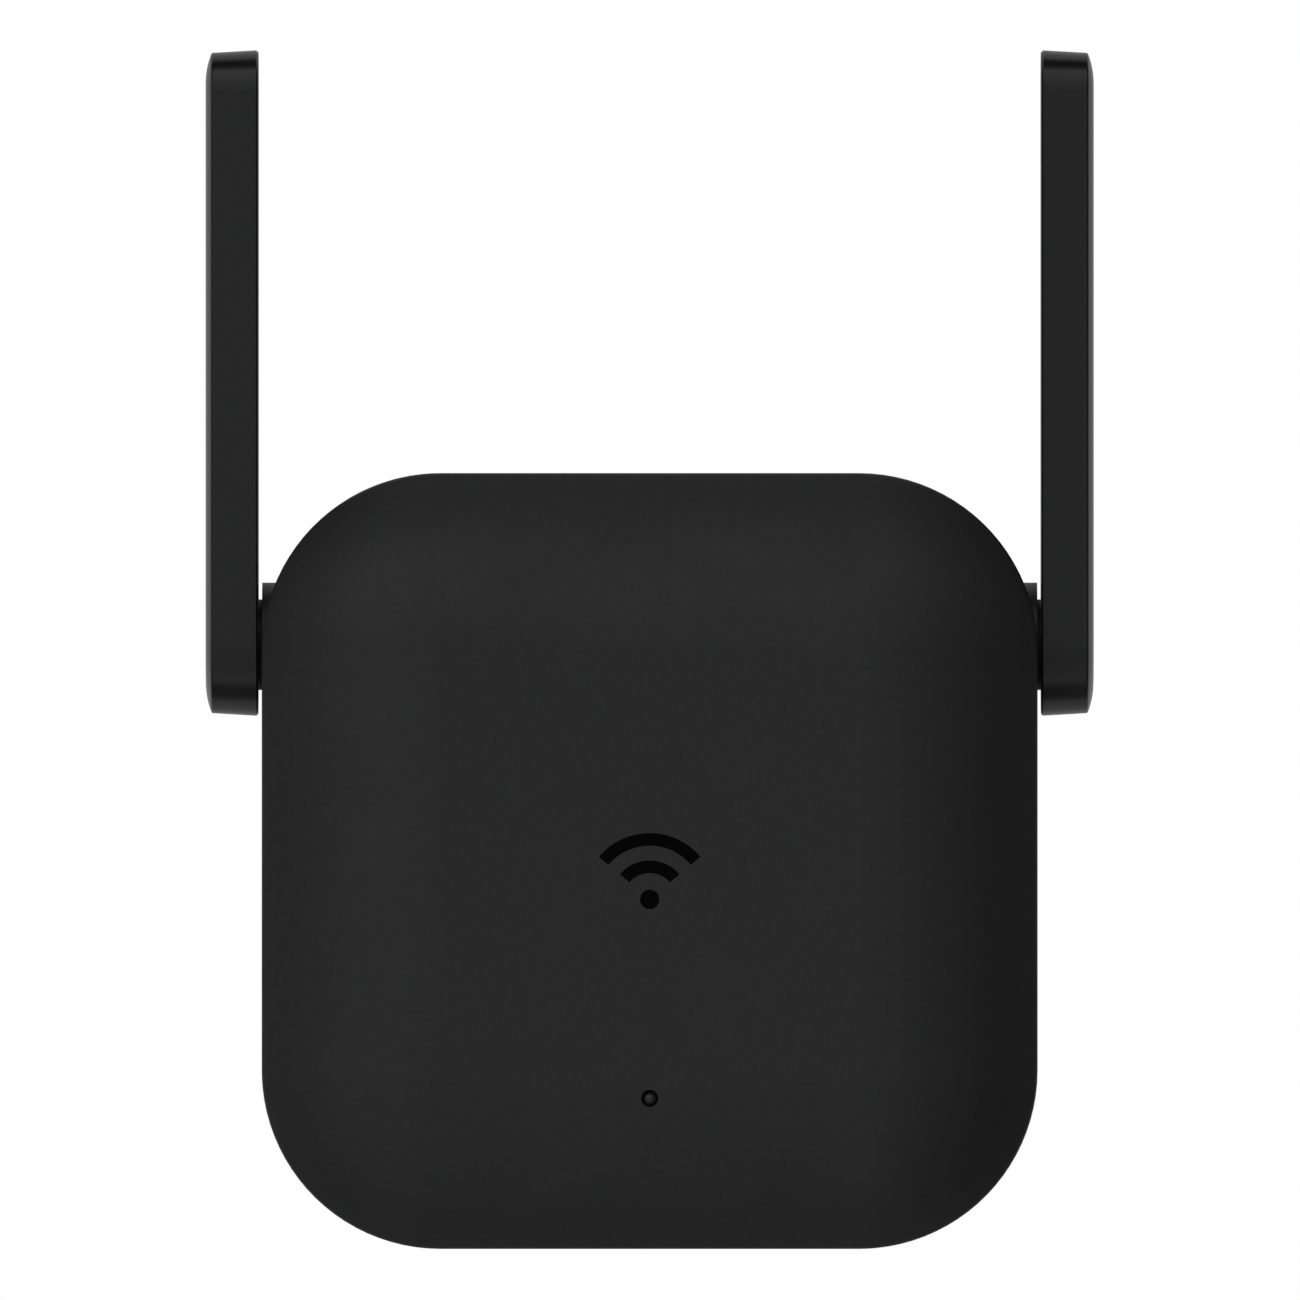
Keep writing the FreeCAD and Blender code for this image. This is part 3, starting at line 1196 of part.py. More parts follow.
def make_cables():
    """Each cable, in two lengths that meet end to end on the hinge axis: one in the housing, with its
    plug on the main board, and one that turns with the antenna, with the board that it feeds.
    """
    coax = new_body("coax")
    path = new_sketch(coax, "XY_Plane", D.hinge_up)
    draw_bent_path(path, [
        (D.journal_in, -D.hinge_depth), (D.coax_x + 9.5, -D.hinge_depth),
        (D.coax_x + 5.5, -D.coax_depth), (D.coax_x, -D.coax_depth)], D.coax_bend)
    sweep_cable(coax, path, D.journal_in, -D.hinge_depth, D.hinge_up)
    both_sides(coax, "coax_{}")
    deep = D.main_rear - D.coax_depth + D.coax_r + 0.1
    plug = block("coax_plug", D.coax_x - 1.5, D.main_rear - deep, D.hinge_up, 3, deep, 3)
    both_sides(plug, "coax_plug_{}")

    feed = new_body("feed")
    path = new_sketch(feed, "XZ_Plane")
    draw_bent_path(path, [(D.journal_in, 0), (D.coax_lane, 0), (D.coax_lane, D.coax_rise)], D.coax_r * 2)
    sweep_cable(feed, path, D.journal_in, 0, 0)
    both_sides(on_hinge(feed), "antenna_{}_cable")

    element = new_body("element")
    sketch = new_sketch(element, "YZ_Plane", D.coax_lane + D.coax_r)
    draw_rectangle(sketch, -D.element_wide / 2, D.element_low,
                   D.element_wide / 2, D.element_low + D.element_high)
    pad(element, sketch, D.element_thick)
    both_sides(on_hinge(element), "antenna_{}_element")


# ---------------------------------------------------------------- the whole object


def write_parts():
    """Checks every object of the document, then writes each sub-part to its own file."""
    DOC.recompute()
    for obj in DOC.Objects:
        if "Invalid" in obj.State or "Error" in obj.State:
            raise RuntimeError(f"{obj.Name} is {obj.State}")
    os.makedirs("parts", exist_ok=True)
    for obj in NODES:
        if obj.Shape.isNull() or not obj.Shape.isValid():
            raise RuntimeError(f"{obj.Label} has no valid shape")
        obj.Shape.exportStep(f"parts/{obj.Label}.step")


def main():
    make_front_cover()
    make_rear_cover()
    make_plug()
    make_power_board()
    make_main_board()
    make_reset_switch()
    make_screws()
    make_antenna_housing()
    make_antenna_cover()
    make_hinge()
    make_cables()
    write_parts()


main()
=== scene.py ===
"""Looks of the plug-in range extender: studio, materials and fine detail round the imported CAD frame.

Row frame, in metres: +Z up, +X to the right seen from the front, the front faces -Y, the wall is at +Y.
"""
import math
import random

import bmesh
import bpy
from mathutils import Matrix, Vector


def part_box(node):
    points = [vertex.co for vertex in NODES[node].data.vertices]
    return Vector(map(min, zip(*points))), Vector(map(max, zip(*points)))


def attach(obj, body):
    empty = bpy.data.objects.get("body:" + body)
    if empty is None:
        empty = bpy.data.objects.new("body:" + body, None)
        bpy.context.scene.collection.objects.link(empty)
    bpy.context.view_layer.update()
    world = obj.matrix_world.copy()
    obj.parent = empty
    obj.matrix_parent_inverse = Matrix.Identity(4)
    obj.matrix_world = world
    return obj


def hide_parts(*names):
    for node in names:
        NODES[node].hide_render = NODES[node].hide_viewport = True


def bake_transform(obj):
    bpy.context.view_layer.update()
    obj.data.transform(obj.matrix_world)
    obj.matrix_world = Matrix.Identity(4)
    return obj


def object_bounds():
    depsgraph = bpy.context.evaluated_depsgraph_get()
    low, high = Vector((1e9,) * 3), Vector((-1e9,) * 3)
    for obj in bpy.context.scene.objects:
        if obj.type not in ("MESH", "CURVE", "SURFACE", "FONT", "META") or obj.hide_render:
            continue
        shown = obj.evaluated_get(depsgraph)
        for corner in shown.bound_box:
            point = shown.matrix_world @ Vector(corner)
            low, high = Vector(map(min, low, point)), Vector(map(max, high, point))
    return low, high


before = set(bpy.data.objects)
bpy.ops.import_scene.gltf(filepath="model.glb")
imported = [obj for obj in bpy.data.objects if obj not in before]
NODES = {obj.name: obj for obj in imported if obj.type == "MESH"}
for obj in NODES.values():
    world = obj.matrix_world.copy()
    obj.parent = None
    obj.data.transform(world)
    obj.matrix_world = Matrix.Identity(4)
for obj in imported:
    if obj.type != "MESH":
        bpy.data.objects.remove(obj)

MM = 0.001

bpy.context.view_layer.update()
CAD_LOW, CAD_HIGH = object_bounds()

# ---------------------------------------------------------------- camera, floor and light

VIEW_MIDDLE_X = 0.034 * MM
VIEW_MIDDLE_Z = 21.62 * MM
VIEW_WIDE = 133.2 * MM
# The plane in which the view is that wide, and the camera's distance from it. From further away the
# views from other sides come out blank.
OUTLINE_Y = -32.0 * MM
CAMERA_AWAY = 5.8
CAMERA_CLIP = (0.1, 20)
SENSOR_MM = 36.0
FLOOR_DROP = 14 * MM
FLOOR_R, FLOOR_SIDES = 0.5, 128
FLOOR_COLOUR = (0.82, 0.82, 0.82, 1)
FLOOR_ROUGHNESS = 0.9
FLOOR_GLOW = 0.42

# Square soft boxes: name, place and watts. They all point at the middle of the object.
LIGHT_SIDE = 1.2
LIGHT_AIM = Vector((0, -0.03, 0.02))
LIGHTS = (("key", (-1.0, -1.5, 0.9), 13.0),
          ("back", (1.0, 1.6, 0.9), 16.0),
          ("low", (-0.1, -0.5, -1.3), 4.0))

WHITE = (1, 1, 1, 1)

# The world's strength by direction: a slope leans it along x, y and z, and the bowl adds with z squared.
FRONT_LIGHT = 0.445
FRONT_SLOPE = (-0.13, 0.0, 0.28)
FRONT_BOWL = 0.305
RIGHT_SHADE = 0.20
BEHIND_LIGHT = 0.50
BEHIND_SLOPE = (-0.05, 0.0, 0.18)
BELOW_LIGHT = 0.12
DARK_LIGHT = 0.015
# Where each zone begins and where it is full: by y in front and behind, by z below, by x on the right.
FRONT_FADE = (-0.24, -0.50)
BEHIND_FADE = (0.12, 0.32)
BELOW_FADE = (-0.70, -0.95)
RIGHT_FADE = (0.0, 0.8)


def make_camera():
    data = bpy.data.cameras.new("camera")
    data.sensor_width = SENSOR_MM
    data.lens = SENSOR_MM * CAMERA_AWAY / VIEW_WIDE
    data.clip_start, data.clip_end = CAMERA_CLIP
    camera = bpy.data.objects.new("camera", data)
    camera.location = (VIEW_MIDDLE_X, OUTLINE_Y - CAMERA_AWAY, VIEW_MIDDLE_Z)
    camera.rotation_euler = (math.radians(90), 0, 0)
    bpy.context.scene.collection.objects.link(camera)
    bpy.context.scene.camera = camera


def make_light(name, place, watts):
    """A soft area light that brightens surfaces but leaves no outline of itself in their gloss."""
    data = bpy.data.lights.new(name, "AREA")
    data.shape = "SQUARE"
    data.size = LIGHT_SIDE
    data.energy = watts
    light = bpy.data.objects.new(name, data)
    light.location = place
    light.rotation_euler = (LIGHT_AIM - Vector(place)).to_track_quat("-Z", "Y").to_euler()
    light.visible_glossy = False
    bpy.context.scene.collection.objects.link(light)


def make_world():
    """The studio: a broad soft light in front, strongest above and to the left, a weak one from below,
    a dark gap at the sides, and a pale sweep behind. The camera sees plain white.
    """
    world = bpy.data.worlds.new("studio")
    bpy.context.scene.world = world
    world.use_nodes = True
    nodes, links = world.node_tree.nodes, world.node_tree.links
    nodes.clear()

    def add(kind, inputs=(), **settings):
        node = nodes.new(kind)
        for name, value in settings.items():
            setattr(node, name, value)
        for name, value in inputs:
            if isinstance(value, bpy.types.NodeSocket):
                links.new(value, node.inputs[name])
            else:
                node.inputs[name].default_value = value
        return node.outputs

    def fade(value, start, end):
        return add("ShaderNodeMapRange", (
            ("Value", value), ("From Min", start), ("From Max", end)), interpolation_type="SMOOTHSTEP")[0]

    def maths(operation, one, other):
        return add("ShaderNodeMath", ((0, one), (1, other)), operation=operation)[0]

    way = add("ShaderNodeTexCoord")["Generated"]
    across, depth, up = add("ShaderNodeSeparateXYZ", (("Vector", way),))

    def sloping(strength, slope):
        lean = add("ShaderNodeVectorMath", ((0, way), (1, slope)), operation="DOT_PRODUCT")["Value"]
        return maths("ADD", lean, strength)

    shade = maths("MULTIPLY", fade(across, *RIGHT_FADE), RIGHT_SHADE)
    front = maths("SUBTRACT", sloping(FRONT_LIGHT, FRONT_SLOPE), shade)
    bowl = maths("MULTIPLY", maths("MULTIPLY", up, up), FRONT_BOWL)
    front = maths("MULTIPLY", maths("ADD", front, bowl), fade(depth, *FRONT_FADE))
    behind = maths("MULTIPLY", sloping(BEHIND_LIGHT, BEHIND_SLOPE), fade(depth, *BEHIND_FADE))
    below = maths("MULTIPLY", fade(up, *BELOW_FADE), BELOW_LIGHT)
    studio = maths("ADD", maths("ADD", front, behind), maths("ADD", below, DARK_LIGHT))
    seen = add("ShaderNodeLightPath")["Is Camera Ray"]
    sky = add("ShaderNodeBackground", (("Strength", studio),))[0]
    backdrop = add("ShaderNodeBackground", (("Color", WHITE),))[0]
    mixed = add("ShaderNodeMixShader", ((0, seen), (1, sky), (2, backdrop)))[0]
    add("ShaderNodeOutputWorld", (("Surface", mixed),))


def make_floor():
    """A pale disc that is seen, but neither lights nor shades the object."""
    mesh = bpy.data.meshes.new("floor")
    shape = bmesh.new()
    bmesh.ops.create_circle(shape, cap_ends=True, segments=FLOOR_SIDES, radius=FLOOR_R)
    shape.to_mesh(mesh)
    shape.free()
    floor = bpy.data.objects.new("floor", mesh)
    floor.location = (0, 0, CAD_LOW.z - FLOOR_DROP)
    bpy.context.scene.collection.objects.link(floor)
    material = bpy.data.materials.new("floor_pale")
    material.use_nodes = True
    shader = material.node_tree.nodes["Principled BSDF"]
    shader.inputs["Base Color"].default_value = FLOOR_COLOUR
    shader.inputs["Roughness"].default_value = FLOOR_ROUGHNESS
    shader.inputs["Emission Color"].default_value = WHITE
    shader.inputs["Emission Strength"].default_value = FLOOR_GLOW
    mesh.materials.append(material)
    floor.visible_glossy = False
    floor.visible_diffuse = False
    floor.visible_shadow = False


bpy.context.scene.view_settings.view_transform = "Standard"
make_camera()
make_world()
make_floor()
for light in LIGHTS:
    make_light(*light)

# ---------------------------------------------------------------- materials

# The stretch of values that most of a noise texture lies in.
NOISE_SPAN = (0.3, 0.7)
LEAST_ROUGHNESS = 0.02


class Shade:
    """A node material in the making, with its texture coordinates in millimetres."""

    def __init__(self, name, colour, roughness, metallic=0.0, specular=0.5):
        self.material = bpy.data.materials.new(name)
        self.material.use_nodes = True
        self.tree = self.material.node_tree
        self.shader = self.tree.nodes["Principled BSDF"]
        self.shader.inputs["Base Color"].default_value = (*colour, 1)
        self.shader.inputs["Roughness"].default_value = roughness
        self.shader.inputs["Metallic"].default_value = metallic
        self.shader.inputs["Specular IOR Level"].default_value = specular
        self.colour, self.roughness = colour, roughness
        self.place = self.new("ShaderNodeTexCoord").outputs["Object"]
        self.bumps = None

    def new(self, kind, **settings):
        node = self.tree.nodes.new(kind)
        for name, value in settings.items():
            setattr(node, name, value)
        return node

    def link(self, output, node, name):
        self.tree.links.new(output, node.inputs[name])

    def coordinates(self, stretch=(1, 1, 1)):
        """Object coordinates in millimetres, stretched per axis."""
        mapping = self.new("ShaderNodeMapping")
        mapping.inputs["Scale"].default_value = [s / MM for s in stretch]
        self.link(self.place, mapping, "Vector")
        return mapping.outputs["Vector"]

    def noise(self, size, detail, rough=0.5, stretch=(1, 1, 1)):
        """Noise whose grains are about size millimetres across."""
        texture = self.new("ShaderNodeTexNoise")
        texture.inputs["Scale"].default_value = 1 / size
        texture.inputs["Detail"].default_value = detail
        texture.inputs["Roughness"].default_value = rough
        self.link(self.coordinates(stretch), texture, "Vector")
        return texture.outputs["Fac"]

    def ramp(self, source, low, high, value_low, value_high):
        """Maps source from low..high to value_low..value_high, held at both ends."""
        node = self.new("ShaderNodeMapRange")
        ends = (("From Min", low), ("From Max", high), ("To Min", value_low), ("To Max", value_high))
        for name, value in ends:
            node.inputs[name].default_value = value
        self.link(source, node, "Value")
        return node.outputs["Result"]

    def vary_roughness(self, source, spread):
        """Roughness moves by up to spread each way with source."""
        low, high = self.roughness - spread, self.roughness + spread
        self.link(self.ramp(source, *NOISE_SPAN, max(low, LEAST_ROUGHNESS), min(high, 1)),
                  self.shader, "Roughness")
        return self

    def mix(self, factor, one, other):
        """A mix of two colours, each a tuple or an output."""
        node = self.new("ShaderNodeMix", data_type="RGBA")
        # The node has a set of sockets for each kind of data: 6 and 7 take colours, and 2 gives one.
        for value, socket in ((one, 6), (other, 7)):
            if isinstance(value, tuple):
                node.inputs[socket].default_value = (*value, 1)
            else:
                self.tree.links.new(value, node.inputs[socket])
        self.tree.links.new(factor, node.inputs[0])
        return node.outputs[2]

    def paint(self, output):
        self.link(output, self.shader, "Base Color")
        return self

    def vary_colour(self, source, other, low=0.35, high=0.65):
        """Base colour drifts towards another colour with source."""
        return self.paint(self.mix(self.ramp(source, low, high, 0, 1), self.colour, other))

    def bump(self, source, height):
        """Relief of height millimetres, on top of any relief already there."""
        node = self.new("ShaderNodeBump")
        node.inputs["Strength"].default_value = 1.0
        node.inputs["Distance"].default_value = height * MM
        self.link(source, node, "Height")
        if self.bumps:
            self.link(self.bumps, node, "Normal")
        self.bumps = node.outputs["Normal"]
        self.link(self.bumps, self.shader, "Normal")
        return self


CASE_BLACK = (0.0136, 0.0143, 0.0139)
ANTENNA_BLACK = (0.0072, 0.0077, 0.0075)
REAR_BLACK = (0.0100, 0.0106, 0.0103)
ANTENNA_ROUGHNESS = 0.22
NECK_ROUGHNESS = 0.5
# How far out sideways, in millimetres, the neck's finish gives way to the antenna's.
NECK_BLEND = (40.0, 40.3)

# What all moulded plastic shares: patches of gloss, a fine speckle of tone, and shallow sinks.
# Each has its size in millimetres and how far it goes.
GLOSS_PATCH, GLOSS_SPREAD = 9, 0.045
SPECKLE, SPECKLE_FACTOR = 0.5, 1.22
SINK, SINK_DEEP = 14, 0.01

# What all metal shares: patches of tarnish, and tool marks that change its gloss.
TARNISH, TARNISH_FACTOR = 2.5, 0.78
MARK_SPREAD = 0.09

# A circuit board's woven glass, and its tracks, which are drawn out along z.
BOARD_ROUGHNESS = 0.34
WEAVE_SCALE, WEAVE_WARP, WEAVE_RELIEF = 0.9, 0.6, 0.004
TRACK_SIZE, TRACK_RELIEF = 3.2, 0.02
TRACK_EDGE, TRACK_STRETCH = (0.48, 0.52), (1, 1, 0.25)


def scaled(colour, factor):
    """A lighter or darker tone of a colour."""
    return tuple(min(c * factor, 1) for c in colour)


def moulded(name, colour, roughness, grain=0.22, relief=0.004, specular=0.5):
    """Injection-moulded plastic: a fine spark-eroded grain, and a slow drift of gloss and tone."""
    shade = Shade(name, colour, roughness, specular=specular)
    shade.vary_roughness(shade.noise(GLOSS_PATCH, 3), GLOSS_SPREAD)
    shade.vary_colour(shade.noise(SPECKLE, 2), scaled(colour, SPECKLE_FACTOR))
    shade.bump(shade.noise(grain, 3, 0.6), relief)
    shade.bump(shade.noise(SINK, 1), SINK_DEEP)
    return shade


def antenna_plastic():
    """The antennas' smoother finish, left grained on the neck that turns in the knuckle."""
    shade = moulded("antenna_satin_black", ANTENNA_BLACK, ANTENNA_ROUGHNESS, grain=0.20, relief=0.0010)
    parts = shade.new("ShaderNodeSeparateXYZ")
    shade.link(shade.coordinates(), parts, "Vector")
    across = shade.new("ShaderNodeMath", operation="ABSOLUTE")
    shade.link(parts.outputs["X"], across, 0)
    blend = shade.ramp(across.outputs[0], *NECK_BLEND, NECK_ROUGHNESS, ANTENNA_ROUGHNESS)
    shade.link(blend, shade.shader, "Roughness")
    return shade


def metal(name, colour, roughness, stretch=(1, 1, 1), scratch=0.12, relief=0.002):
    """Metal with fine tool marks drawn out along one axis, and a light tarnish."""
    shade = Shade(name, colour, roughness, metallic=1.0)
    marks = shade.noise(scratch, 3, 0.6, stretch)
    shade.vary_roughness(marks, MARK_SPREAD)
    shade.vary_colour(shade.noise(TARNISH, 3), scaled(colour, TARNISH_FACTOR))
    shade.bump(marks, relief)
    return shade


def laminate(name, colour, other):
    """A circuit board: lacquer over woven glass, with tracks that show through as a lighter tone."""
    shade = Shade(name, colour, BOARD_ROUGHNESS)
    weave = shade.new("ShaderNodeTexWave", wave_type="BANDS", bands_direction="X")
    weave.inputs["Scale"].default_value = WEAVE_SCALE
    weave.inputs["Distortion"].default_value = WEAVE_WARP
    shade.link(shade.coordinates(), weave, "Vector")
    tracks = shade.noise(TRACK_SIZE, 1, 0.4, TRACK_STRETCH)
    shade.vary_colour(tracks, other, *TRACK_EDGE)
    shade.bump(weave.outputs["Fac"], WEAVE_RELIEF)
    shade.bump(tracks, TRACK_RELIEF)
    return shade


def pipe_with_painted_shade():
    """Frosted clear plastic given a near-black colour: painted shade for the unlit hole and LED behind it.
    """
    # Painted shade: the dark base colour stands in for the lack of light inside the hole.
    shade = Shade("pipe_clear", (0.03, 0.031, 0.032), 0.26, specular=0.45)
    shade.shader.inputs["Transmission Weight"].default_value = 0.2
    shade.vary_roughness(shade.noise(0.5, 2), 0.08)
    shade.bump(shade.noise(0.3, 2), 0.003)
    return shade


# By the CAD's material slots, and below them the looks that only the added pieces have.
MATERIALS = {
    "case": moulded("case_satin_black", CASE_BLACK, 0.54, grain=0.20, relief=0.0022),
    "antenna": antenna_plastic(),
    "case_rear": moulded("case_grained_black", REAR_BLACK, 0.46, grain=0.30, relief=0.006),
    "mark_gloss": moulded("mark_black", (0.0016, 0.0015, 0.0015), 0.5, grain=1.5, relief=0.0006,
                          specular=0.03),
    "sleeve_black": moulded("sleeve_black", (0.014, 0.014, 0.014), 0.38, grain=0.15, relief=0.002),
    "pin_nickel": metal("pin_nickel", (0.66, 0.63, 0.58), 0.24, (6, 0.5, 6), 0.5, 0.0015),
    "carrier_plastic": moulded("carrier_plastic", (0.03, 0.03, 0.03), 0.5),
    "brass_strip": metal("brass_strip", (0.70, 0.50, 0.22), 0.32, (1, 0.2, 4), 0.3),
    "board_green": laminate("board_green", (0.008, 0.055, 0.026), (0.016, 0.10, 0.045)),
    "board_tan": laminate("board_tan", (0.30, 0.19, 0.075), (0.36, 0.24, 0.10)),
    "ferrite": moulded("ferrite_grey", (0.035, 0.035, 0.038), 0.62, grain=0.12, relief=0.01),
    "winding_tape": moulded("winding_tape", (0.72, 0.47, 0.04), 0.30, grain=0.9, relief=0.02),
    "capacitor_sleeve": moulded("capacitor_sleeve", (0.012, 0.018, 0.05), 0.25, grain=2, relief=0.004),
    "component_black": moulded("component_black", (0.018, 0.018, 0.018), 0.52, grain=0.14, relief=0.005),
    "component_blue": moulded("component_blue", (0.025, 0.11, 0.34), 0.28, grain=1.2, relief=0.02),
    "component_green": moulded("component_green", (0.05, 0.19, 0.07), 0.40, grain=0.7, relief=0.012),
    "header_plastic": moulded("header_plastic", (0.02, 0.02, 0.02), 0.45),
    "pin_gold": metal("pin_gold", (0.85, 0.62, 0.26), 0.22, (2, 0.3, 2), 0.3),
    "insulation_film": moulded("insulation_film", (0.70, 0.70, 0.66), 0.22, grain=3, relief=0.02),
    "can_steel": metal("can_steel", (0.66, 0.66, 0.65), 0.30, (0.3, 3, 3), 0.4),
    "pad_silicone": moulded("pad_silicone", (0.25, 0.32, 0.42), 0.7, grain=0.5, relief=0.02),
    "heatsink_metal": metal("heatsink_metal", (0.76, 0.76, 0.77), 0.34, (4, 4, 0.3), 0.4),
    "crystal_can": metal("crystal_can", (0.72, 0.72, 0.72), 0.22),
    "led_white": moulded("led_white", (0.78, 0.78, 0.72), 0.3, grain=0.6, relief=0.002),
    "plunger_plastic": moulded("plunger_plastic", (0.62, 0.62, 0.60), 0.42),
    "screw_steel": metal("screw_steel", (0.11, 0.11, 0.115), 0.36, scratch=0.25),
    "label_print": moulded("label_print", (0.035, 0.036, 0.036), 0.34, grain=0.9, relief=0.0015),
    "hinge_pom": moulded("hinge_pom", (0.70, 0.69, 0.64), 0.35),
    "spring_steel": metal("spring_steel", (0.56, 0.56, 0.56), 0.26, (4, 1, 1), 0.2),
    "cable_jacket": moulded("cable_jacket", (0.02, 0.02, 0.02), 0.42, grain=0.4, relief=0.004),
    "plug_metal": metal("plug_metal", (0.80, 0.70, 0.45), 0.25),
    "pipe_clear": pipe_with_painted_shade(),
    "ink": moulded("label_ink", (0.20, 0.20, 0.20), 0.5, grain=0.3, relief=0.0008),
    "solder": metal("solder", (0.62, 0.63, 0.65), 0.28, scratch=0.5, relief=0.004),
    "copper": metal("copper", (0.72, 0.33, 0.16), 0.30, scratch=0.3),
    "ceramic": moulded("ceramic", (0.20, 0.13, 0.075), 0.5, grain=0.12, relief=0.003),
}

for name, node in NODES.items():
    for place in node.material_slots:
        kind = place.material.name.split(".")[0] if place.material else None
        if kind == "case" and name.startswith("antenna"):
            kind = "antenna"
        if kind in MATERIALS:
            place.material = MATERIALS[kind].material

# ---------------------------------------------------------------- mesh tools

# Edges that bend by more than this stay sharp.
STEEP = math.radians(35)
# A block's flared foot: the share of the flare that is left at this share of the height.
FLARE_UP, FLARE_LEFT = 0.35, 0.2


def outline(wide, high, corner, steps=1):
    """A rectangle about the origin with its corners cut, or rounded when steps is more than 1."""
    points = []
    for side, up, start in ((1, 1, 0), (-1, 1, 90), (-1, -1, 180), (1, -1, 270)):
        for k in range(steps + 1):
            angle = math.radians(start + 90 * k / steps)
            points.append((side * (wide / 2 - corner) + corner * math.cos(angle),
                           up * (high / 2 - corner) + corner * math.sin(angle)))
    return points


def bent(points, cut, steps=5):
    """A path along points whose corners are rounded off, from cut before each corner to cut after it."""
    path = [Vector(points[0])]
    for before, at, after in zip(points, points[1:], points[2:]):
        before, at, after = Vector(before), Vector(at), Vector(after)
        start = at + (before - at).normalized() * cut
        end = at + (after - at).normalized() * cut
        for k in range(steps + 1):
            t = k / steps
            path.append(start * (1 - t) ** 2 + at * (2 * t * (1 - t)) + end * t ** 2)
    return path + [Vector(points[-1])]


class Piece:
    """A mesh built up from closed shapes, in millimetres in the row frame."""

    def __init__(self, name, slot, look=None, body="housing", replaces=()):
        self.name, self.slot, self.look = name, slot, look or slot
        self.body, self.replaces = body, replaces
        self.shape = bmesh.new()

    def skin(self, rings):
        """A closed surface over rings that have the same number of points."""
        rows = [[self.shape.verts.new(point) for point in ring] for ring in rings]
        for one, other in zip(rows, rows[1:]):
            for k in range(len(one)):
                after = (k + 1) % len(one)
                self.shape.faces.new((one[k], one[after], other[after], other[k]))
        self.shape.faces.new(rows[0][::-1])
        self.shape.faces.new(rows[-1])

    def block(self, place, size, face, out, corner, flare=0.0):
        """A soft-edged box that stands on a board.

        Place is its middle in x and z. Face is the board's y. Out is 1 towards the wall and -1 to the front.
        """
        (x, z), (wide, high, deep) = place, size
        rings = []
        levels = (0, flare), (deep * FLARE_UP, flare * FLARE_LEFT), (deep - corner, 0), (deep, -corner)
        for level, grow in levels:
            ring = outline(wide + 2 * grow, high + 2 * grow, corner)
            rings.append([(x + u, face + out * level, z + v) for u, v in ring])
        self.skin(rings)

    def turned(self, profile, foot, along, sides=24):
        """A turned shape: profile is radius and distance along the axis, from the foot."""
        along = Vector(along).normalized()
        one = along.orthogonal().normalized()
        other = along.cross(one)
        turns = [2 * math.pi * k / sides for k in range(sides)]
        self.skin([[Vector(foot) + along * reach + (one * math.cos(t) + other * math.sin(t)) * radius
                    for t in turns] for radius, reach in profile])

    def swept(self, path, section, across=None):
        """A section carried along a path. Across is the way that a flat section faces."""
        path = [Vector(point) for point in path]
        side = Vector(across) if across else (path[1] - path[0]).orthogonal()
        rings = []
        for k, point in enumerate(path):
            ahead = (path[min(k + 1, len(path) - 1)] - path[max(k - 1, 0)]).normalized()
            side = (side - ahead * side.dot(ahead)).normalized()
            up = ahead.cross(side)
            rings.append([point + side * u + up * v for u, v in section])
        self.skin(rings)

    def wire(self, path, radius, sides=8):
        """A round section carried along a path."""
        turns = [2 * math.pi * k / sides for k in range(sides)]
        self.swept(path, [(radius * math.cos(t), radius * math.sin(t)) for t in turns])

    def finish(self, blend=None):
        """Makes the object, gives it its material, and puts it on its body.

        Blend marks a piece that crosses a joint; it goes on no body. The body and ends in blend are not
        used.
        """
        bmesh.ops.recalc_face_normals(self.shape, faces=self.shape.faces)
        bmesh.ops.scale(self.shape, vec=(MM, MM, MM), verts=self.shape.verts)
        mesh = bpy.data.meshes.new(self.name)
        self.shape.to_mesh(mesh)
        self.shape.free()
        mesh.shade_smooth()
        mesh.set_sharp_from_angle(angle=STEEP)
        mesh.materials.append(MATERIALS[self.look].material)
        piece = bpy.data.objects.new(self.name, mesh)
        bpy.context.scene.collection.objects.link(piece)
        if blend:
            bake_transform(piece)
        else:
            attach(piece, self.body)
        if self.replaces:
            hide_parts(*self.replaces)


def box_mm(node):
    """A CAD node's lowest and highest corner in millimetres."""
    low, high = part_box(node)
    return low / MM, high / MM


def evenly(count, pitch):
    """Where count things stand along a line, either side of its middle."""
    return [(k - (count - 1) / 2) * pitch for k in range(count)]


# ---------------------------------------------------------------- the rating label's print

INK_THICK = 0.03
# A bar's corners are cut by this much, or by this share of its height where that is less.
INK_CORNER, INK_CORNER_SHARE = 0.04, 0.2
# The bare edge round the border, and the border's line.
LABEL_EDGE, LABEL_LINE = 0.9, 0.16
LABEL_SEED = 11

# The print inside the border, in millimetres from its top left corner as it is read from behind.
LABEL_INDENT = 1.2
HEADING_WIDE, HEADING_HIGH = 9.5, 1.1
ROWS, ROW_TOP, ROW_PITCH, ROW_HIGH = 6, 3.4, 1.42, 0.5
ROW_ENDS = (12, 18)
DASH_WIDE, DASH_GAP = (0.8, 3.0), 0.45
STRIPES_LEFT, STRIPES_TOP, STRIPES_HIGH, STRIPES_MARGIN = 20.8, 1.3, 5.0, 1.4
STRIPE_WIDE, STRIPE_GAP = (0.18, 0.18, 0.36, 0.54), (0.22, 0.22, 0.44)
# The rows under the stripes, each wider than the one before.
NOTES, NOTES_TOP, NOTE_WIDE, NOTE_WIDER = 3, 7.4, 5.0, 1.6


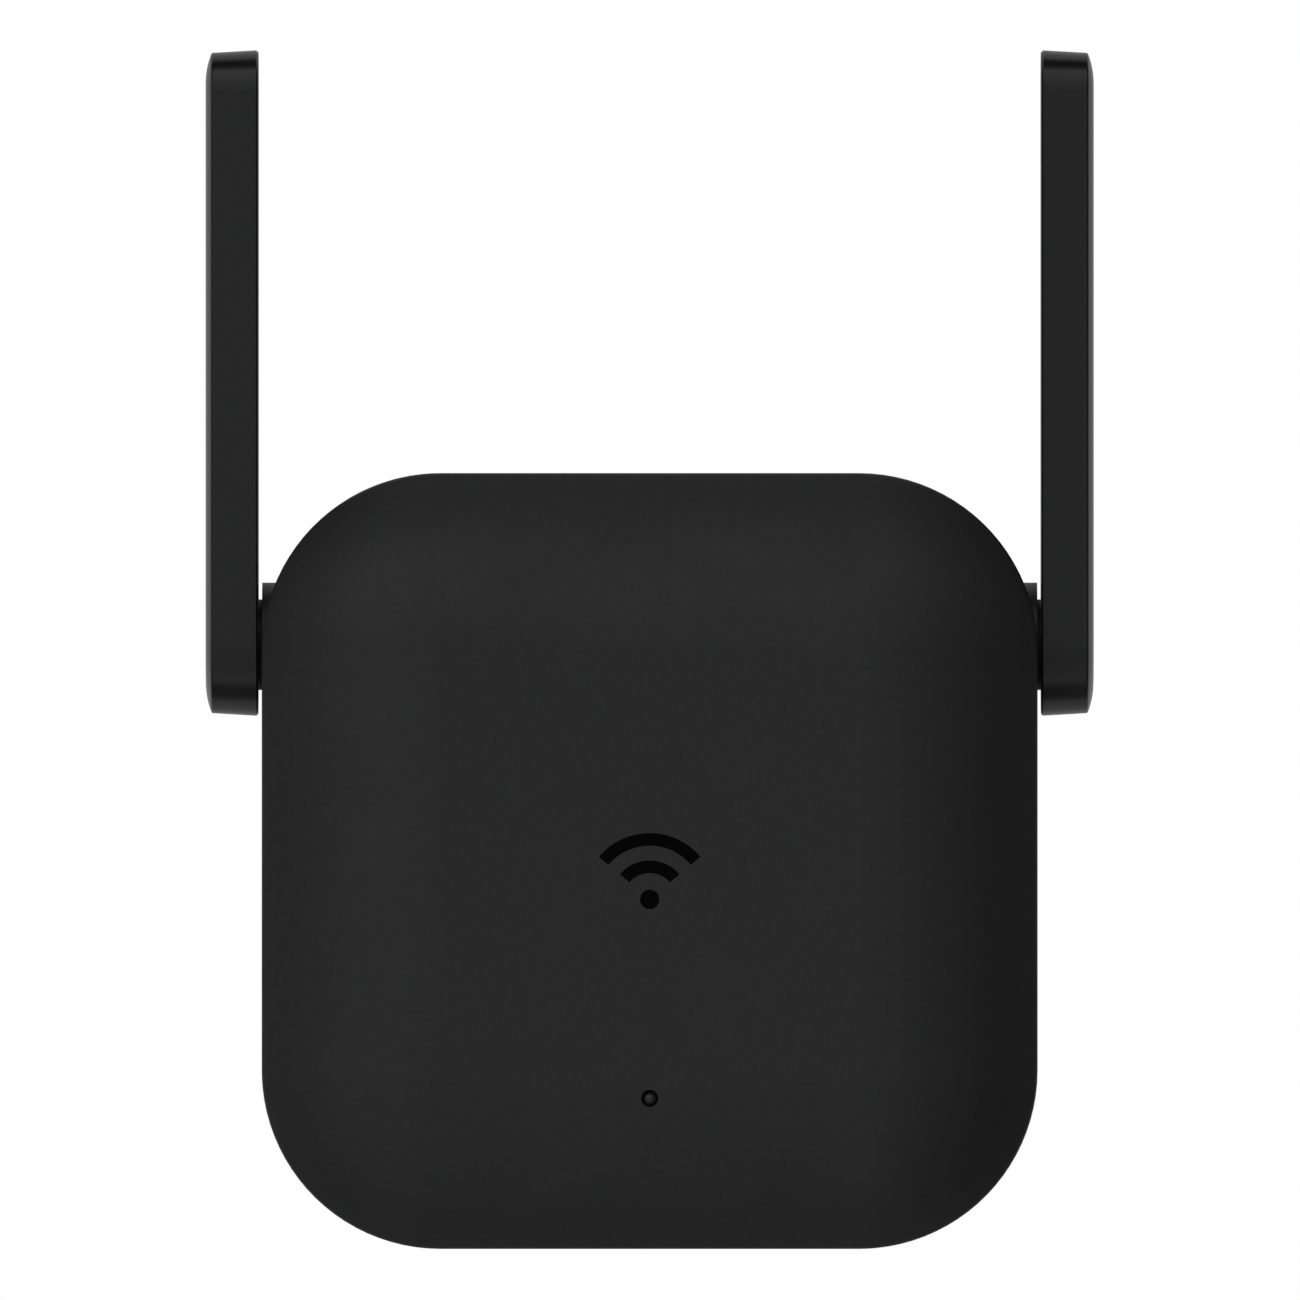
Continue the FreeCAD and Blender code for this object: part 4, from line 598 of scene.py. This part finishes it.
def make_label_print():
    """A border, a heading, rows of plain dashes and a block of plain stripes. It says nothing."""
    low, high = box_mm("rating_label")
    face, middle = high.y, (low + high) / 2
    wide, tall = high.x - low.x - 2 * LABEL_EDGE, high.z - low.z - 2 * LABEL_EDGE
    left, top = middle.x + wide / 2, middle.z + tall / 2
    ink = Piece("label_print_marks", "label_print", "ink")
    draws = random.Random(LABEL_SEED)

    def bar(across, down, width, height):
        """Across is measured from the label's left edge as it is read, from behind."""
        ink.block((left - across - width / 2, top - down - height / 2), (width, height, INK_THICK),
                  face, 1, corner=min(INK_CORNER, height * INK_CORNER_SHARE))

    for down in (0, tall - LABEL_LINE):
        bar(0, down, wide, LABEL_LINE)
    for across in (0, wide - LABEL_LINE):
        bar(across, LABEL_LINE, LABEL_LINE, tall - 2 * LABEL_LINE)
    bar(LABEL_INDENT, LABEL_INDENT, HEADING_WIDE, HEADING_HIGH)
    for row in range(ROWS):
        across, end = LABEL_INDENT, draws.uniform(*ROW_ENDS)
        while across < end:
            dash = draws.uniform(*DASH_WIDE)
            bar(across, ROW_TOP + row * ROW_PITCH, dash, ROW_HIGH)
            across += dash + DASH_GAP
    across = STRIPES_LEFT
    while across < wide - STRIPES_MARGIN:
        stripe = draws.choice(STRIPE_WIDE)
        bar(across, STRIPES_TOP, stripe, STRIPES_HIGH)
        across += stripe + draws.choice(STRIPE_GAP)
    for row in range(NOTES):
        bar(STRIPES_LEFT, NOTES_TOP + row * ROW_PITCH, NOTE_WIDE + NOTE_WIDER * row, ROW_HIGH)
    ink.finish()


# ---------------------------------------------------------------- the boards' parts

MAIN_LOW, MAIN_HIGH = box_mm("main_board")
POWER_LOW, POWER_HIGH = box_mm("power_board")
MAIN_FRONT, MAIN_BACK = MAIN_LOW.y, MAIN_HIGH.y
POWER_FRONT, POWER_BACK = POWER_LOW.y, POWER_HIGH.y

# Length, width and thickness of chip resistors and capacitors, and each metal end's share of the length.
CHIP_SIZES = ((1.0, 0.5, 0.35), (1.6, 0.8, 0.45), (2.0, 1.25, 0.55))
CHIP_END = 0.22
CHIP_CORNER = 0.04
# How much wider and taller the metal ends are than the part between them, and how far their solder spreads.
END_WIDER, END_TALLER, END_FLARE = 0.02, 0.01, 0.1

# Chip parts stand on a grid, clear of the board's edge, of each other and of the packages.
GRID = 0.5
EDGE_CLEAR, PART_CLEAR, PACKAGE_CLEAR = 1.0, 0.45, 0.5
TRIES = 4000

# What the loose chip parts keep clear of on each face of the main board: lowest and highest x and z.
BACK_TAKEN = (
    (-21.6, -27, 21.6, 4.6), (-6.2, 7.2, 6.2, 11.8), (12.2, 19.8, 29, 24.5), (-29, 19.8, -12.2, 24.5),
    (21.9, 14.9, 26.1, 19.1), (-26.1, 14.9, -21.9, 19.1), (21.9, -19.1, 26.1, -14.9),
    (-26.1, -19.1, -21.9, -14.9), (14.5, -27, 21.5, -22.8))
FRONT_TAKEN = (
    (-14, -8, 14, 18), (-24.2, -12.6, -14.8, -3.4), (15.9, -9.7, 20.1, -6.3), (-3.2, -27, 3.2, -21),
    (21, 14, 27, 20), (-27, 14, -21, 20), (21, -20, 27, -14), (-27, -20, -21, -14))

# Larger packages on the main board: x, z, width, height and thickness.
BACK_PACKAGES = ((-18, 12.5, 5, 5, 0.9), (9.6, 16.2, 4, 4, 1.9),
                 (-9.4, 16.6, 3, 3, 0.8), (17.4, 10.4, 4.4, 3.6, 1.3))
FRONT_PACKAGES = ((-8.5, -15.5, 6, 6, 0.9), (7.5, -15.5, 4, 4, 1.9),
                  (18.5, 3.0, 4, 3, 0.9), (-19.0, 6.0, 3, 3, 0.8))
PACKAGE_CORNER = 0.12

# Their solder pads, whose middles stand just outside the package.
PAD_PITCH, PAD_OUT = 0.8, 0.12
PAD_WIDE, PAD_LONG, PAD_THICK = 0.34, 0.5, 0.16
PAD_CORNER, PAD_FLARE = 0.05, 0.04


def add_pads(ends, x, z, wide, high, face, out):
    """The row of solder pads that shows along each side of a flat package."""
    for side in (-1, 1):
        for step in evenly(int(wide / PAD_PITCH), PAD_PITCH):
            place = (x + step, z + side * (high / 2 + PAD_OUT))
            ends.block(place, (PAD_WIDE, PAD_LONG, PAD_THICK), face, out, PAD_CORNER, PAD_FLARE)
        for step in evenly(int(high / PAD_PITCH), PAD_PITCH):
            place = (x + side * (wide / 2 + PAD_OUT), z + step)
            ends.block(place, (PAD_LONG, PAD_WIDE, PAD_THICK), face, out, PAD_CORNER, PAD_FLARE)


def add_chip_part(middle, ends, x, z, size, upright, face, out):
    """A chip resistor or capacitor. Its middle goes to one piece and its two metal ends to another."""
    length, wide, deep = size
    end = length * CHIP_END
    inner = length - 2 * end
    middle.block((x, z), (wide, inner, deep) if upright else (inner, wide, deep), face, out, CHIP_CORNER)
    wider, taller = wide + END_WIDER, deep + END_TALLER
    for side in (-1, 1):
        shift = side * (length - end) / 2
        place = (x, z + shift) if upright else (x + shift, z)
        end_size = (wider, end, taller) if upright else (end, wider, taller)
        ends.block(place, end_size, face, out, CHIP_CORNER, END_FLARE)


def covered(x, z, wide, high, margin=0.0):
    """What a part takes up of the board: lowest x and z, then highest."""
    return x - wide / 2 - margin, z - high / 2 - margin, x + wide / 2 + margin, z + high / 2 + margin


def is_free(area, busy):
    """Whether an area is clear of the main board's edge and of what is there."""
    low_x, low_z, high_x, high_z = area
    edges = low_x - MAIN_LOW.x, MAIN_HIGH.x - high_x, low_z - MAIN_LOW.z, MAIN_HIGH.z - high_z
    return min(edges) >= EDGE_CLEAR and not any(
        low_x - PART_CLEAR < b[2] and high_x + PART_CLEAR > b[0]
        and low_z - PART_CLEAR < b[3] and high_z + PART_CLEAR > b[1] for b in busy)


def on_grid(value):
    return round(value / GRID) * GRID


def populate(label, face, out, taken, packages, count, seed):
    """One face of the main board: the packages, and chip parts scattered where there is room."""
    draws = random.Random(seed)
    resistors = Piece(f"main_board_{label}_resistors", "component_black")
    capacitors = Piece(f"main_board_{label}_capacitors", "ferrite", "ceramic")
    ends = Piece(f"main_board_{label}_solder", "can_steel", "solder")
    chips = Piece(f"main_board_{label}_chips", "component_black")
    busy = list(taken)
    for x, z, wide, high, deep in packages:
        chips.block((x, z), (wide, high, deep), face, out, PACKAGE_CORNER)
        add_pads(ends, x, z, wide, high, face, out)
        busy.append(covered(x, z, wide, high, PACKAGE_CLEAR))
    for _ in range(TRIES):
        if count == 0:
            break
        size = draws.choice(CHIP_SIZES)
        upright = draws.random() < 0.5
        x = on_grid(draws.uniform(MAIN_LOW.x, MAIN_HIGH.x))
        z = on_grid(draws.uniform(MAIN_LOW.z, MAIN_HIGH.z))
        length, wide, _ = size
        area = covered(x, z, wide, length) if upright else covered(x, z, length, wide)
        if is_free(area, busy):
            busy.append(area)
            add_chip_part(draws.choice((resistors, capacitors)), ends, x, z, size, upright, face, out)
            count -= 1
    for piece in (resistors, capacitors, ends, chips):
        piece.finish()


# Round and flat leads start this far inside their part and end this far into the board.
LEAD_INSIDE, LEAD_SUNK = 0.2, 0.3
LEAD_WIDE, LEAD_THICK, LEAD_CORNER = 0.42, 0.18, 0.03

# A gull-wing lead leaves its package at this share of the thickness. It starts down, and is down, at these
# shares of its reach, with this much cut off each bend. At a pitch of COARSE or more it is twice as wide.
GULL_RISE, GULL_KNEE, GULL_HEEL, GULL_CUT = 0.45, 0.35, 0.45, 0.1
GULL_REACH = 1.0
COARSE = 2


def gull_leads(leads, node, face, along, pitch, count, reach=GULL_REACH):
    """Gull-wing leads on two sides of a package on a board's front. Along is the axis of the rows."""
    low, high = box_mm(node)
    middle = (low + high) / 2
    rise = (high.y - low.y) * GULL_RISE
    half = (high.z - low.z) / 2 if along == "x" else (high.x - low.x) / 2
    section = outline(LEAD_WIDE if pitch < COARSE else LEAD_WIDE * 2, LEAD_THICK, LEAD_CORNER)
    profile = ((half - LEAD_INSIDE, rise), (half + reach * GULL_KNEE, rise),
               (half + reach * GULL_HEEL, LEAD_THICK / 2), (half + reach, LEAD_THICK / 2))
    for side in (-1, 1):
        for step in evenly(count, pitch):
            if along == "x":
                points = [(middle.x + step, face - level, middle.z + side * off) for off, level in profile]
            else:
                points = [(middle.x + side * off, face - level, middle.z + step) for off, level in profile]
            leads.swept(bent(points, GULL_CUT, 3), section, (1, 0, 0) if along == "x" else (0, 0, 1))


# Where leads go through the power board: x and z. The solder stands on the side towards the wall.
BULK_FEET = ((-16.9, -18.2), (-14.9, -18.2), (-10.1, -18.2), (-8.1, -18.2))
OUTPUT_FEET = ((16.2, -14.3), (18.2, -14.3))
FUSE_FEET = ((-5.4, -18.5), (6.9, -18.5))
DISC_FEET = ((-4.0, 2.0), (-4.0, 6.0))
COIL_FEET = ((10.7, 7.2), (15.3, 7.2))
TRANSFORMER_FEET = tuple((x, z) for z in (-13.0, -1.0) for x in (-1.6, 1.8, 5.2, 8.6))
HEADER_FEET = tuple((x, 9.5) for x in (-3.81, -1.27, 1.27, 3.81))
OPTO_FEET = tuple((x, z) for z in (-3.5, 4.5) for x in (-10.77, -8.23))
POWER_FEET = (BULK_FEET + OUTPUT_FEET + FUSE_FEET + DISC_FEET + COIL_FEET + TRANSFORMER_FEET
              + HEADER_FEET + OPTO_FEET)

# A solder joint's radius and height, from the board to the tip.
SOLDER_CONE = ((0.95, 0.0), (0.86, 0.06), (0.62, 0.18), (0.45, 0.36), (0.36, 0.55), (0.32, 0.62),
               (0.24, 0.68))

# Round leads, and what is cut off their corners.
WIRE_R, WIRE_CUT = 0.3, 0.8
# The disc capacitor's straight leads: distances along y from the board's front.
DISC_LEAD = (-1.2, -0.5, LEAD_SUNK)
# The optocoupler's leads are flat, and leave it this far in front of its face towards the board.
OPTO_OFF, OPTO_CUT = 1.9, 0.3
OPTO_WIDE, OPTO_THICK = LEAD_WIDE * 1.6, LEAD_THICK * 1.3

# Each can lies its own radius off the board. Its end has an x, that radius and a z.
BULK_R, OUTPUT_R = 4.0, 3.15
CAN_ENDS = ((-17.3, BULK_R, -4.9), (-9.1, BULK_R, -4.9), (17.2, OUTPUT_R, -4.0))
# The rim's distance inside the radius, and the end's profile: how far in from the rim, and the height.
CAN_RIM = 0.45
CAN_PROFILE = ((0, -0.1), (0, 0.10), (0.12, 0.16), (0.3, 0.10), (0.5, 0.06))
# The star on it: its height over the end, how far inside the rim it stops, and its lines' width and depth.
STAR_UP, STAR_SHORT, STAR_WIDE, STAR_DEEP, STAR_CORNER = 0.07, 0.7, 0.22, 0.06, 0.02

# A band's profile: how far it stands over the fuse's radius, and the distance along.
BAND_PROFILE = ((-0.2, 0), (0.03, 0.02), (0.03, 0.68), (-0.2, 0.7))
BANDS = (-2.9, -1.5, -0.1, 2.7)

# The coil starts and ends this far inside the inductor.
COIL_INSET = 1.08
COIL_TURNS, COIL_STEPS, COIL_R, COIL_WIRE_R = 10, 20, 2.84, 0.24

# The bobbin's flanges: from the winding's end to their middle, their height, what they add to the winding's
# width and to its depth from the board, and the gap to the board.
FLANGE_INSET, FLANGE_HIGH, FLANGE_WIDER, FLANGE_DEEPER, FLANGE_GAP = 0.55, 1.3, 1.6, 0.35, 0.02
FLANGE_CORNER = 0.15
# The tape: from the winding's end to its middle, and how much wider and deeper than the winding it is.
TAPE_INSET, TAPE_PROUD, TAPE_CORNER = 1.9, 0.12, 0.25
TAPE_LEVELS = (-0.45, -0.2, 0.2, 0.45)


def make_power_board_solder():
    """A cone of solder round each lead, on the side towards the wall."""
    solder = Piece("power_board_solder", "can_steel", "solder")
    for x, z in POWER_FEET:
        solder.turned(SOLDER_CONE, (x, POWER_BACK, z), (0, 1, 0), sides=16)
    solder.finish()


def make_leads():
    """The power board's leads, and those of the flash chip on the main board."""
    leads = Piece("power_board_leads", "can_steel", "solder")

    def down(start, x, z):
        """From inside a part to over its hole, and into the board."""
        return start, (x, start[1], z), (x, POWER_FRONT + LEAD_SUNK, z)

    can_low = box_mm("bulk_capacitors")[0]
    for x, z in BULK_FEET:
        path = down((x, POWER_FRONT - BULK_R, can_low.z + LEAD_INSIDE), x, z)
        leads.wire(bent(path, WIRE_CUT), WIRE_R)
    can_low, can_high = box_mm("output_capacitor")
    for x, z in OUTPUT_FEET:
        path = down((x, (can_low.y + can_high.y) / 2, can_low.z + LEAD_INSIDE), x, z)
        leads.wire(bent(path, WIRE_CUT), WIRE_R)
    low, high = box_mm("fuse_resistor")
    for (x, z), end in zip(FUSE_FEET, (low.x + LEAD_INSIDE, high.x - LEAD_INSIDE)):
        leads.wire(bent(down((end, (low.y + high.y) / 2, z), x, z), WIRE_CUT), WIRE_R)
    for x, z in DISC_FEET:
        leads.wire([(x, POWER_FRONT + level, z) for level in DISC_LEAD], WIRE_R)
    low, high = box_mm("optocoupler")
    section = outline(OPTO_WIDE, OPTO_THICK, LEAD_CORNER)
    for x, z in OPTO_FEET:
        end = low.z + LEAD_INSIDE if z < 0 else high.z - LEAD_INSIDE
        leads.swept(bent(down((x, high.y - OPTO_OFF, end), x, z), OPTO_CUT, 3), section, (1, 0, 0))
    gull_leads(leads, "controller_chip", POWER_FRONT, "x", 1.27, 4)
    gull_leads(leads, "bridge_rectifier", POWER_FRONT, "x", 2.54, 2, 1.2)
    gull_leads(leads, "flash_chip", MAIN_FRONT, "z", 1.27, 4)
    leads.finish()


def make_capacitor_ends():
    """The cans' pressed ends, each with a star of three lines."""
    ends = Piece("capacitor_ends", "can_steel")
    for x, radius, top in CAN_ENDS:
        rim, y = radius - CAN_RIM, POWER_FRONT - radius
        ends.turned([(rim - inward, up) for inward, up in CAN_PROFILE], (x, y, top), (0, 0, 1), sides=40)
        middle = Vector((x, y, top + STAR_UP))
        for turn in (30, 90, 150):
            angle = math.radians(turn)
            tip = Vector((math.cos(angle), math.sin(angle), 0)) * (rim - STAR_SHORT)
            section = outline(STAR_WIDE, STAR_DEEP, STAR_CORNER)
            ends.swept((middle - tip, middle, middle + tip), section, (0, 0, 1))
    ends.finish()


def make_fuse_bands():
    """Dark rings round the fuse resistor."""
    bands = Piece("fuse_bands", "component_black")
    low, high = box_mm("fuse_resistor")
    middle, radius = (low + high) / 2, (high.z - low.z) / 2
    profile = [(radius + over, reach) for over, reach in BAND_PROFILE]
    for along in BANDS:
        bands.turned(profile, (middle.x + along, middle.y, middle.z), (1, 0, 0), sides=32)
    bands.finish()


def make_inductor_coil():
    """Wire wound from the board's side to the front."""
    coil = Piece("inductor_coil", "brass_strip", "copper")
    low, high = box_mm("filter_inductor")
    middle = (low + high) / 2
    start, end = high.y - COIL_INSET, low.y + COIL_INSET
    count = COIL_TURNS * COIL_STEPS
    path = []
    for k in range(count + 1):
        angle, t = 2 * math.pi * k / COIL_STEPS, k / count
        path.append((middle.x + COIL_R * math.cos(angle), start + (end - start) * t,
                     middle.z + COIL_R * math.sin(angle)))
    coil.wire(path, COIL_WIRE_R)
    coil.finish()


def make_transformer_bobbin():
    """The two flanges between which the winding lies."""
    flanges = Piece("transformer_bobbin", "component_black")
    low, high = box_mm("transformer_winding")
    size = (high.x - low.x + FLANGE_WIDER, FLANGE_HIGH, POWER_FRONT - low.y + FLANGE_DEEPER)
    for z in (low.z + FLANGE_INSET, high.z - FLANGE_INSET):
        flanges.block(((low.x + high.x) / 2, z), size, POWER_FRONT - FLANGE_GAP, -1, FLANGE_CORNER)
    flanges.finish()


def make_transformer_tape():
    """Two turns of tape over the winding."""
    tape = Piece("transformer_tape", "winding_tape")
    low, high = box_mm("transformer_winding")
    x, y = (low.x + high.x) / 2, (low.y + high.y) / 2
    ring = outline(high.x - low.x + TAPE_PROUD, high.y - low.y + TAPE_PROUD, TAPE_CORNER, 3)
    for z in (low.z + TAPE_INSET, high.z - TAPE_INSET):
        tape.skin([[(x + u, y + v, z + lift) for u, v in ring] for lift in TAPE_LEVELS])
    tape.finish()


# ---------------------------------------------------------------- antenna connectors and boards

# The plug's turned shapes: radius and distance along the axis.
PLUG_CAP = ((1.22, 0.35), (1.22, 0.75), (1.38, 0.80), (1.40, 1.05), (1.30, 1.12), (1.30, 1.30),
            (1.38, 1.36), (1.36, 1.66), (1.18, 1.78), (0.6, 1.80))
CRIMP = ((0.55, 0.0), (0.74, 0.05), (0.74, 0.32), (0.64, 0.38), (0.64, 0.52), (0.74, 0.58), (0.74, 0.80))
CRIMP_LONG, CRIMP_UP = 0.8, 1.04
PLUG_FOOT, PLUG_FOOT_CORNER = 0.4, 0.1


def make_coax_plug(side, name):
    """A snap-on coaxial plug: a square foot, a turned cap with a groove, and the crimp on the cable."""
    low, high = box_mm(name)
    middle = (low + high) / 2
    plug = Piece(f"{name}_shell", "plug_metal", replaces=(name,))
    plug.block((middle.x, middle.z), (high.x - low.x, high.z - low.z, PLUG_FOOT), low.y, 1,
               PLUG_FOOT_CORNER)
    plug.turned(PLUG_CAP, (middle.x, low.y, middle.z), (0, 1, 0), sides=40)
    outer = high.x if side > 0 else low.x
    plug.turned(CRIMP, (outer - side * CRIMP_LONG, low.y + CRIMP_UP, middle.z), (side, 0, 0))
    plug.finish()


# How far from the plug the cable leaves the board and reaches the hinge axis, what is cut off each corner
# on that way, and the radius of the elbow inside the antenna.
COAX_LEAVES, COAX_ARRIVES = 5.5, 9.5
COAX_CUT = 1.5
COAX_ELBOW = 2.4
ELBOW_STEPS = 9
# Two x values along the hinge axis, handed on in the blend but not used, and how far apart the cable's rings
# are.
TWIST_START, TWIST_END = 27.5, 39.0
RING_PITCH = 0.3
# The stripped end: the screen and the core as shares of the cable's radius, and how far up from the jacket
# they reach. The core goes on to the board's solder.
STRIPPED = 1.4
SCREEN_R, SCREEN_LEVELS = 0.75, (-0.2, 0.3, 0.7)
CORE_R, CORE_LEVELS = 0.3, (0, 1)


def even(path, pitch):
    """The path with points added so that none are further apart than the pitch."""
    points = [path[0]]
    for start, end in zip(path, path[1:]):
        count = max(1, math.ceil((end - start).length / pitch))
        points += [start.lerp(end, k / count) for k in range(1, count + 1)]
    return points


def make_coax(side, hand):
    """One cable from its plug to the antenna's board."""
    low, high = box_mm(f"coax_{hand}")
    feed_low, feed_high = box_mm(f"antenna_{hand}_cable")
    radius = (high.z - low.z) / 2
    z, plug_y, hinge_y = low.z + radius, low.y + radius, high.y - radius
    plug_x = side * min(abs(low.x), abs(high.x))
    lane, top = side * (max(abs(feed_low.x), abs(feed_high.x)) - radius), feed_high.z
    turns = ((plug_x, plug_y, z), (plug_x + side * COAX_LEAVES, plug_y, z),
             (plug_x + side * COAX_ARRIVES, hinge_y, z), (lane, hinge_y, z))
    elbow = []
    for k in range(ELBOW_STEPS + 1):
        turn = math.radians(90 * k / ELBOW_STEPS)
        x = lane - side * COAX_ELBOW * (1 - math.sin(turn))
        elbow.append(Vector((x, hinge_y, z + COAX_ELBOW * (1 - math.cos(turn)))))
    jacket_end = Vector((lane, hinge_y, top - STRIPPED))
    body = f"antenna_{hand}"
    jacket = Piece(f"{body}_coax", "cable_jacket", replaces=(f"coax_{hand}", f"{body}_cable"))
    # The rounded path's last point is the corner that the elbow cuts off.
    jacket.wire(even(bent(turns, COAX_CUT)[:-1] + elbow + [jacket_end], RING_PITCH), radius, sides=14)
    blend = (body, (side * TWIST_START, hinge_y, z), (side * TWIST_END, hinge_y, z))
    jacket.finish(blend)
    screen = Piece(f"{body}_coax_screen", "plug_metal", "solder", body)
    screen.wire([jacket_end + Vector((0, 0, level)) for level in SCREEN_LEVELS], radius * SCREEN_R, sides=12)
    core = [jacket_end + Vector((0, 0, level)) for level in CORE_LEVELS]
    screen.wire(core + [Vector((lane, hinge_y, top))], radius * CORE_R)
    screen.finish()


# The antenna board's copper: height over the board's lower end, width and length of each strip.
TRACE_THICK, TRACE_CORNER = 0.035, 0.3
TRACES = ((9.4, 1.0, 15.0), (26.5, 5.6, 8.5), (38.0, 5.6, 10.0), (33.0, 1.2, 3.0))
# Its solder: heights over the lower end, distance to the front of the middle, and radius and height.
BLOB_LEVELS, BLOB_FORWARD = (14.6, 17.4), 1.6
BLOB_PROFILE = ((0.7, 0), (0.66, 0.1), (0.5, 0.2), (0.25, 0.26))


def make_antenna_traces(side, body):
    """Copper on the antenna's board: a sleeve dipole, with two blobs of solder where the cable ends."""
    low, high = box_mm(f"{body}_element")
    face = low.x if side > 0 else high.x
    middle = (low.y + high.y) / 2
    copper = Piece(f"{body}_trace", "brass_strip", "copper", body)
    for up, wide, tall in TRACES:
        ring = outline(wide, tall, TRACE_CORNER, 2)
        copper.skin([[(face - side * lift, middle + u, low.z + up + tall / 2 + v) for u, v in ring]
                     for lift in (0.0, TRACE_THICK)])
    copper.finish()
    blob = Piece(f"{body}_solder", "can_steel", "solder", body)
    for up in BLOB_LEVELS:
        blob.turned(BLOB_PROFILE, (face, middle - BLOB_FORWARD, low.z + up), (-side, 0, 0), sides=20)
    blob.finish()


make_label_print()
populate("back", MAIN_BACK, 1, BACK_TAKEN, BACK_PACKAGES, count=70, seed=5)
populate("front", MAIN_FRONT, -1, FRONT_TAKEN, FRONT_PACKAGES, count=80, seed=6)
make_power_board_solder()
make_leads()
make_capacitor_ends()
make_fuse_bands()
make_inductor_coil()
make_transformer_bobbin()
make_transformer_tape()
for side, hand in ((-1, "left"), (1, "right")):
    make_coax_plug(side, f"coax_plug_{hand}")
    make_coax(side, hand)
    make_antenna_traces(side, f"antenna_{hand}")
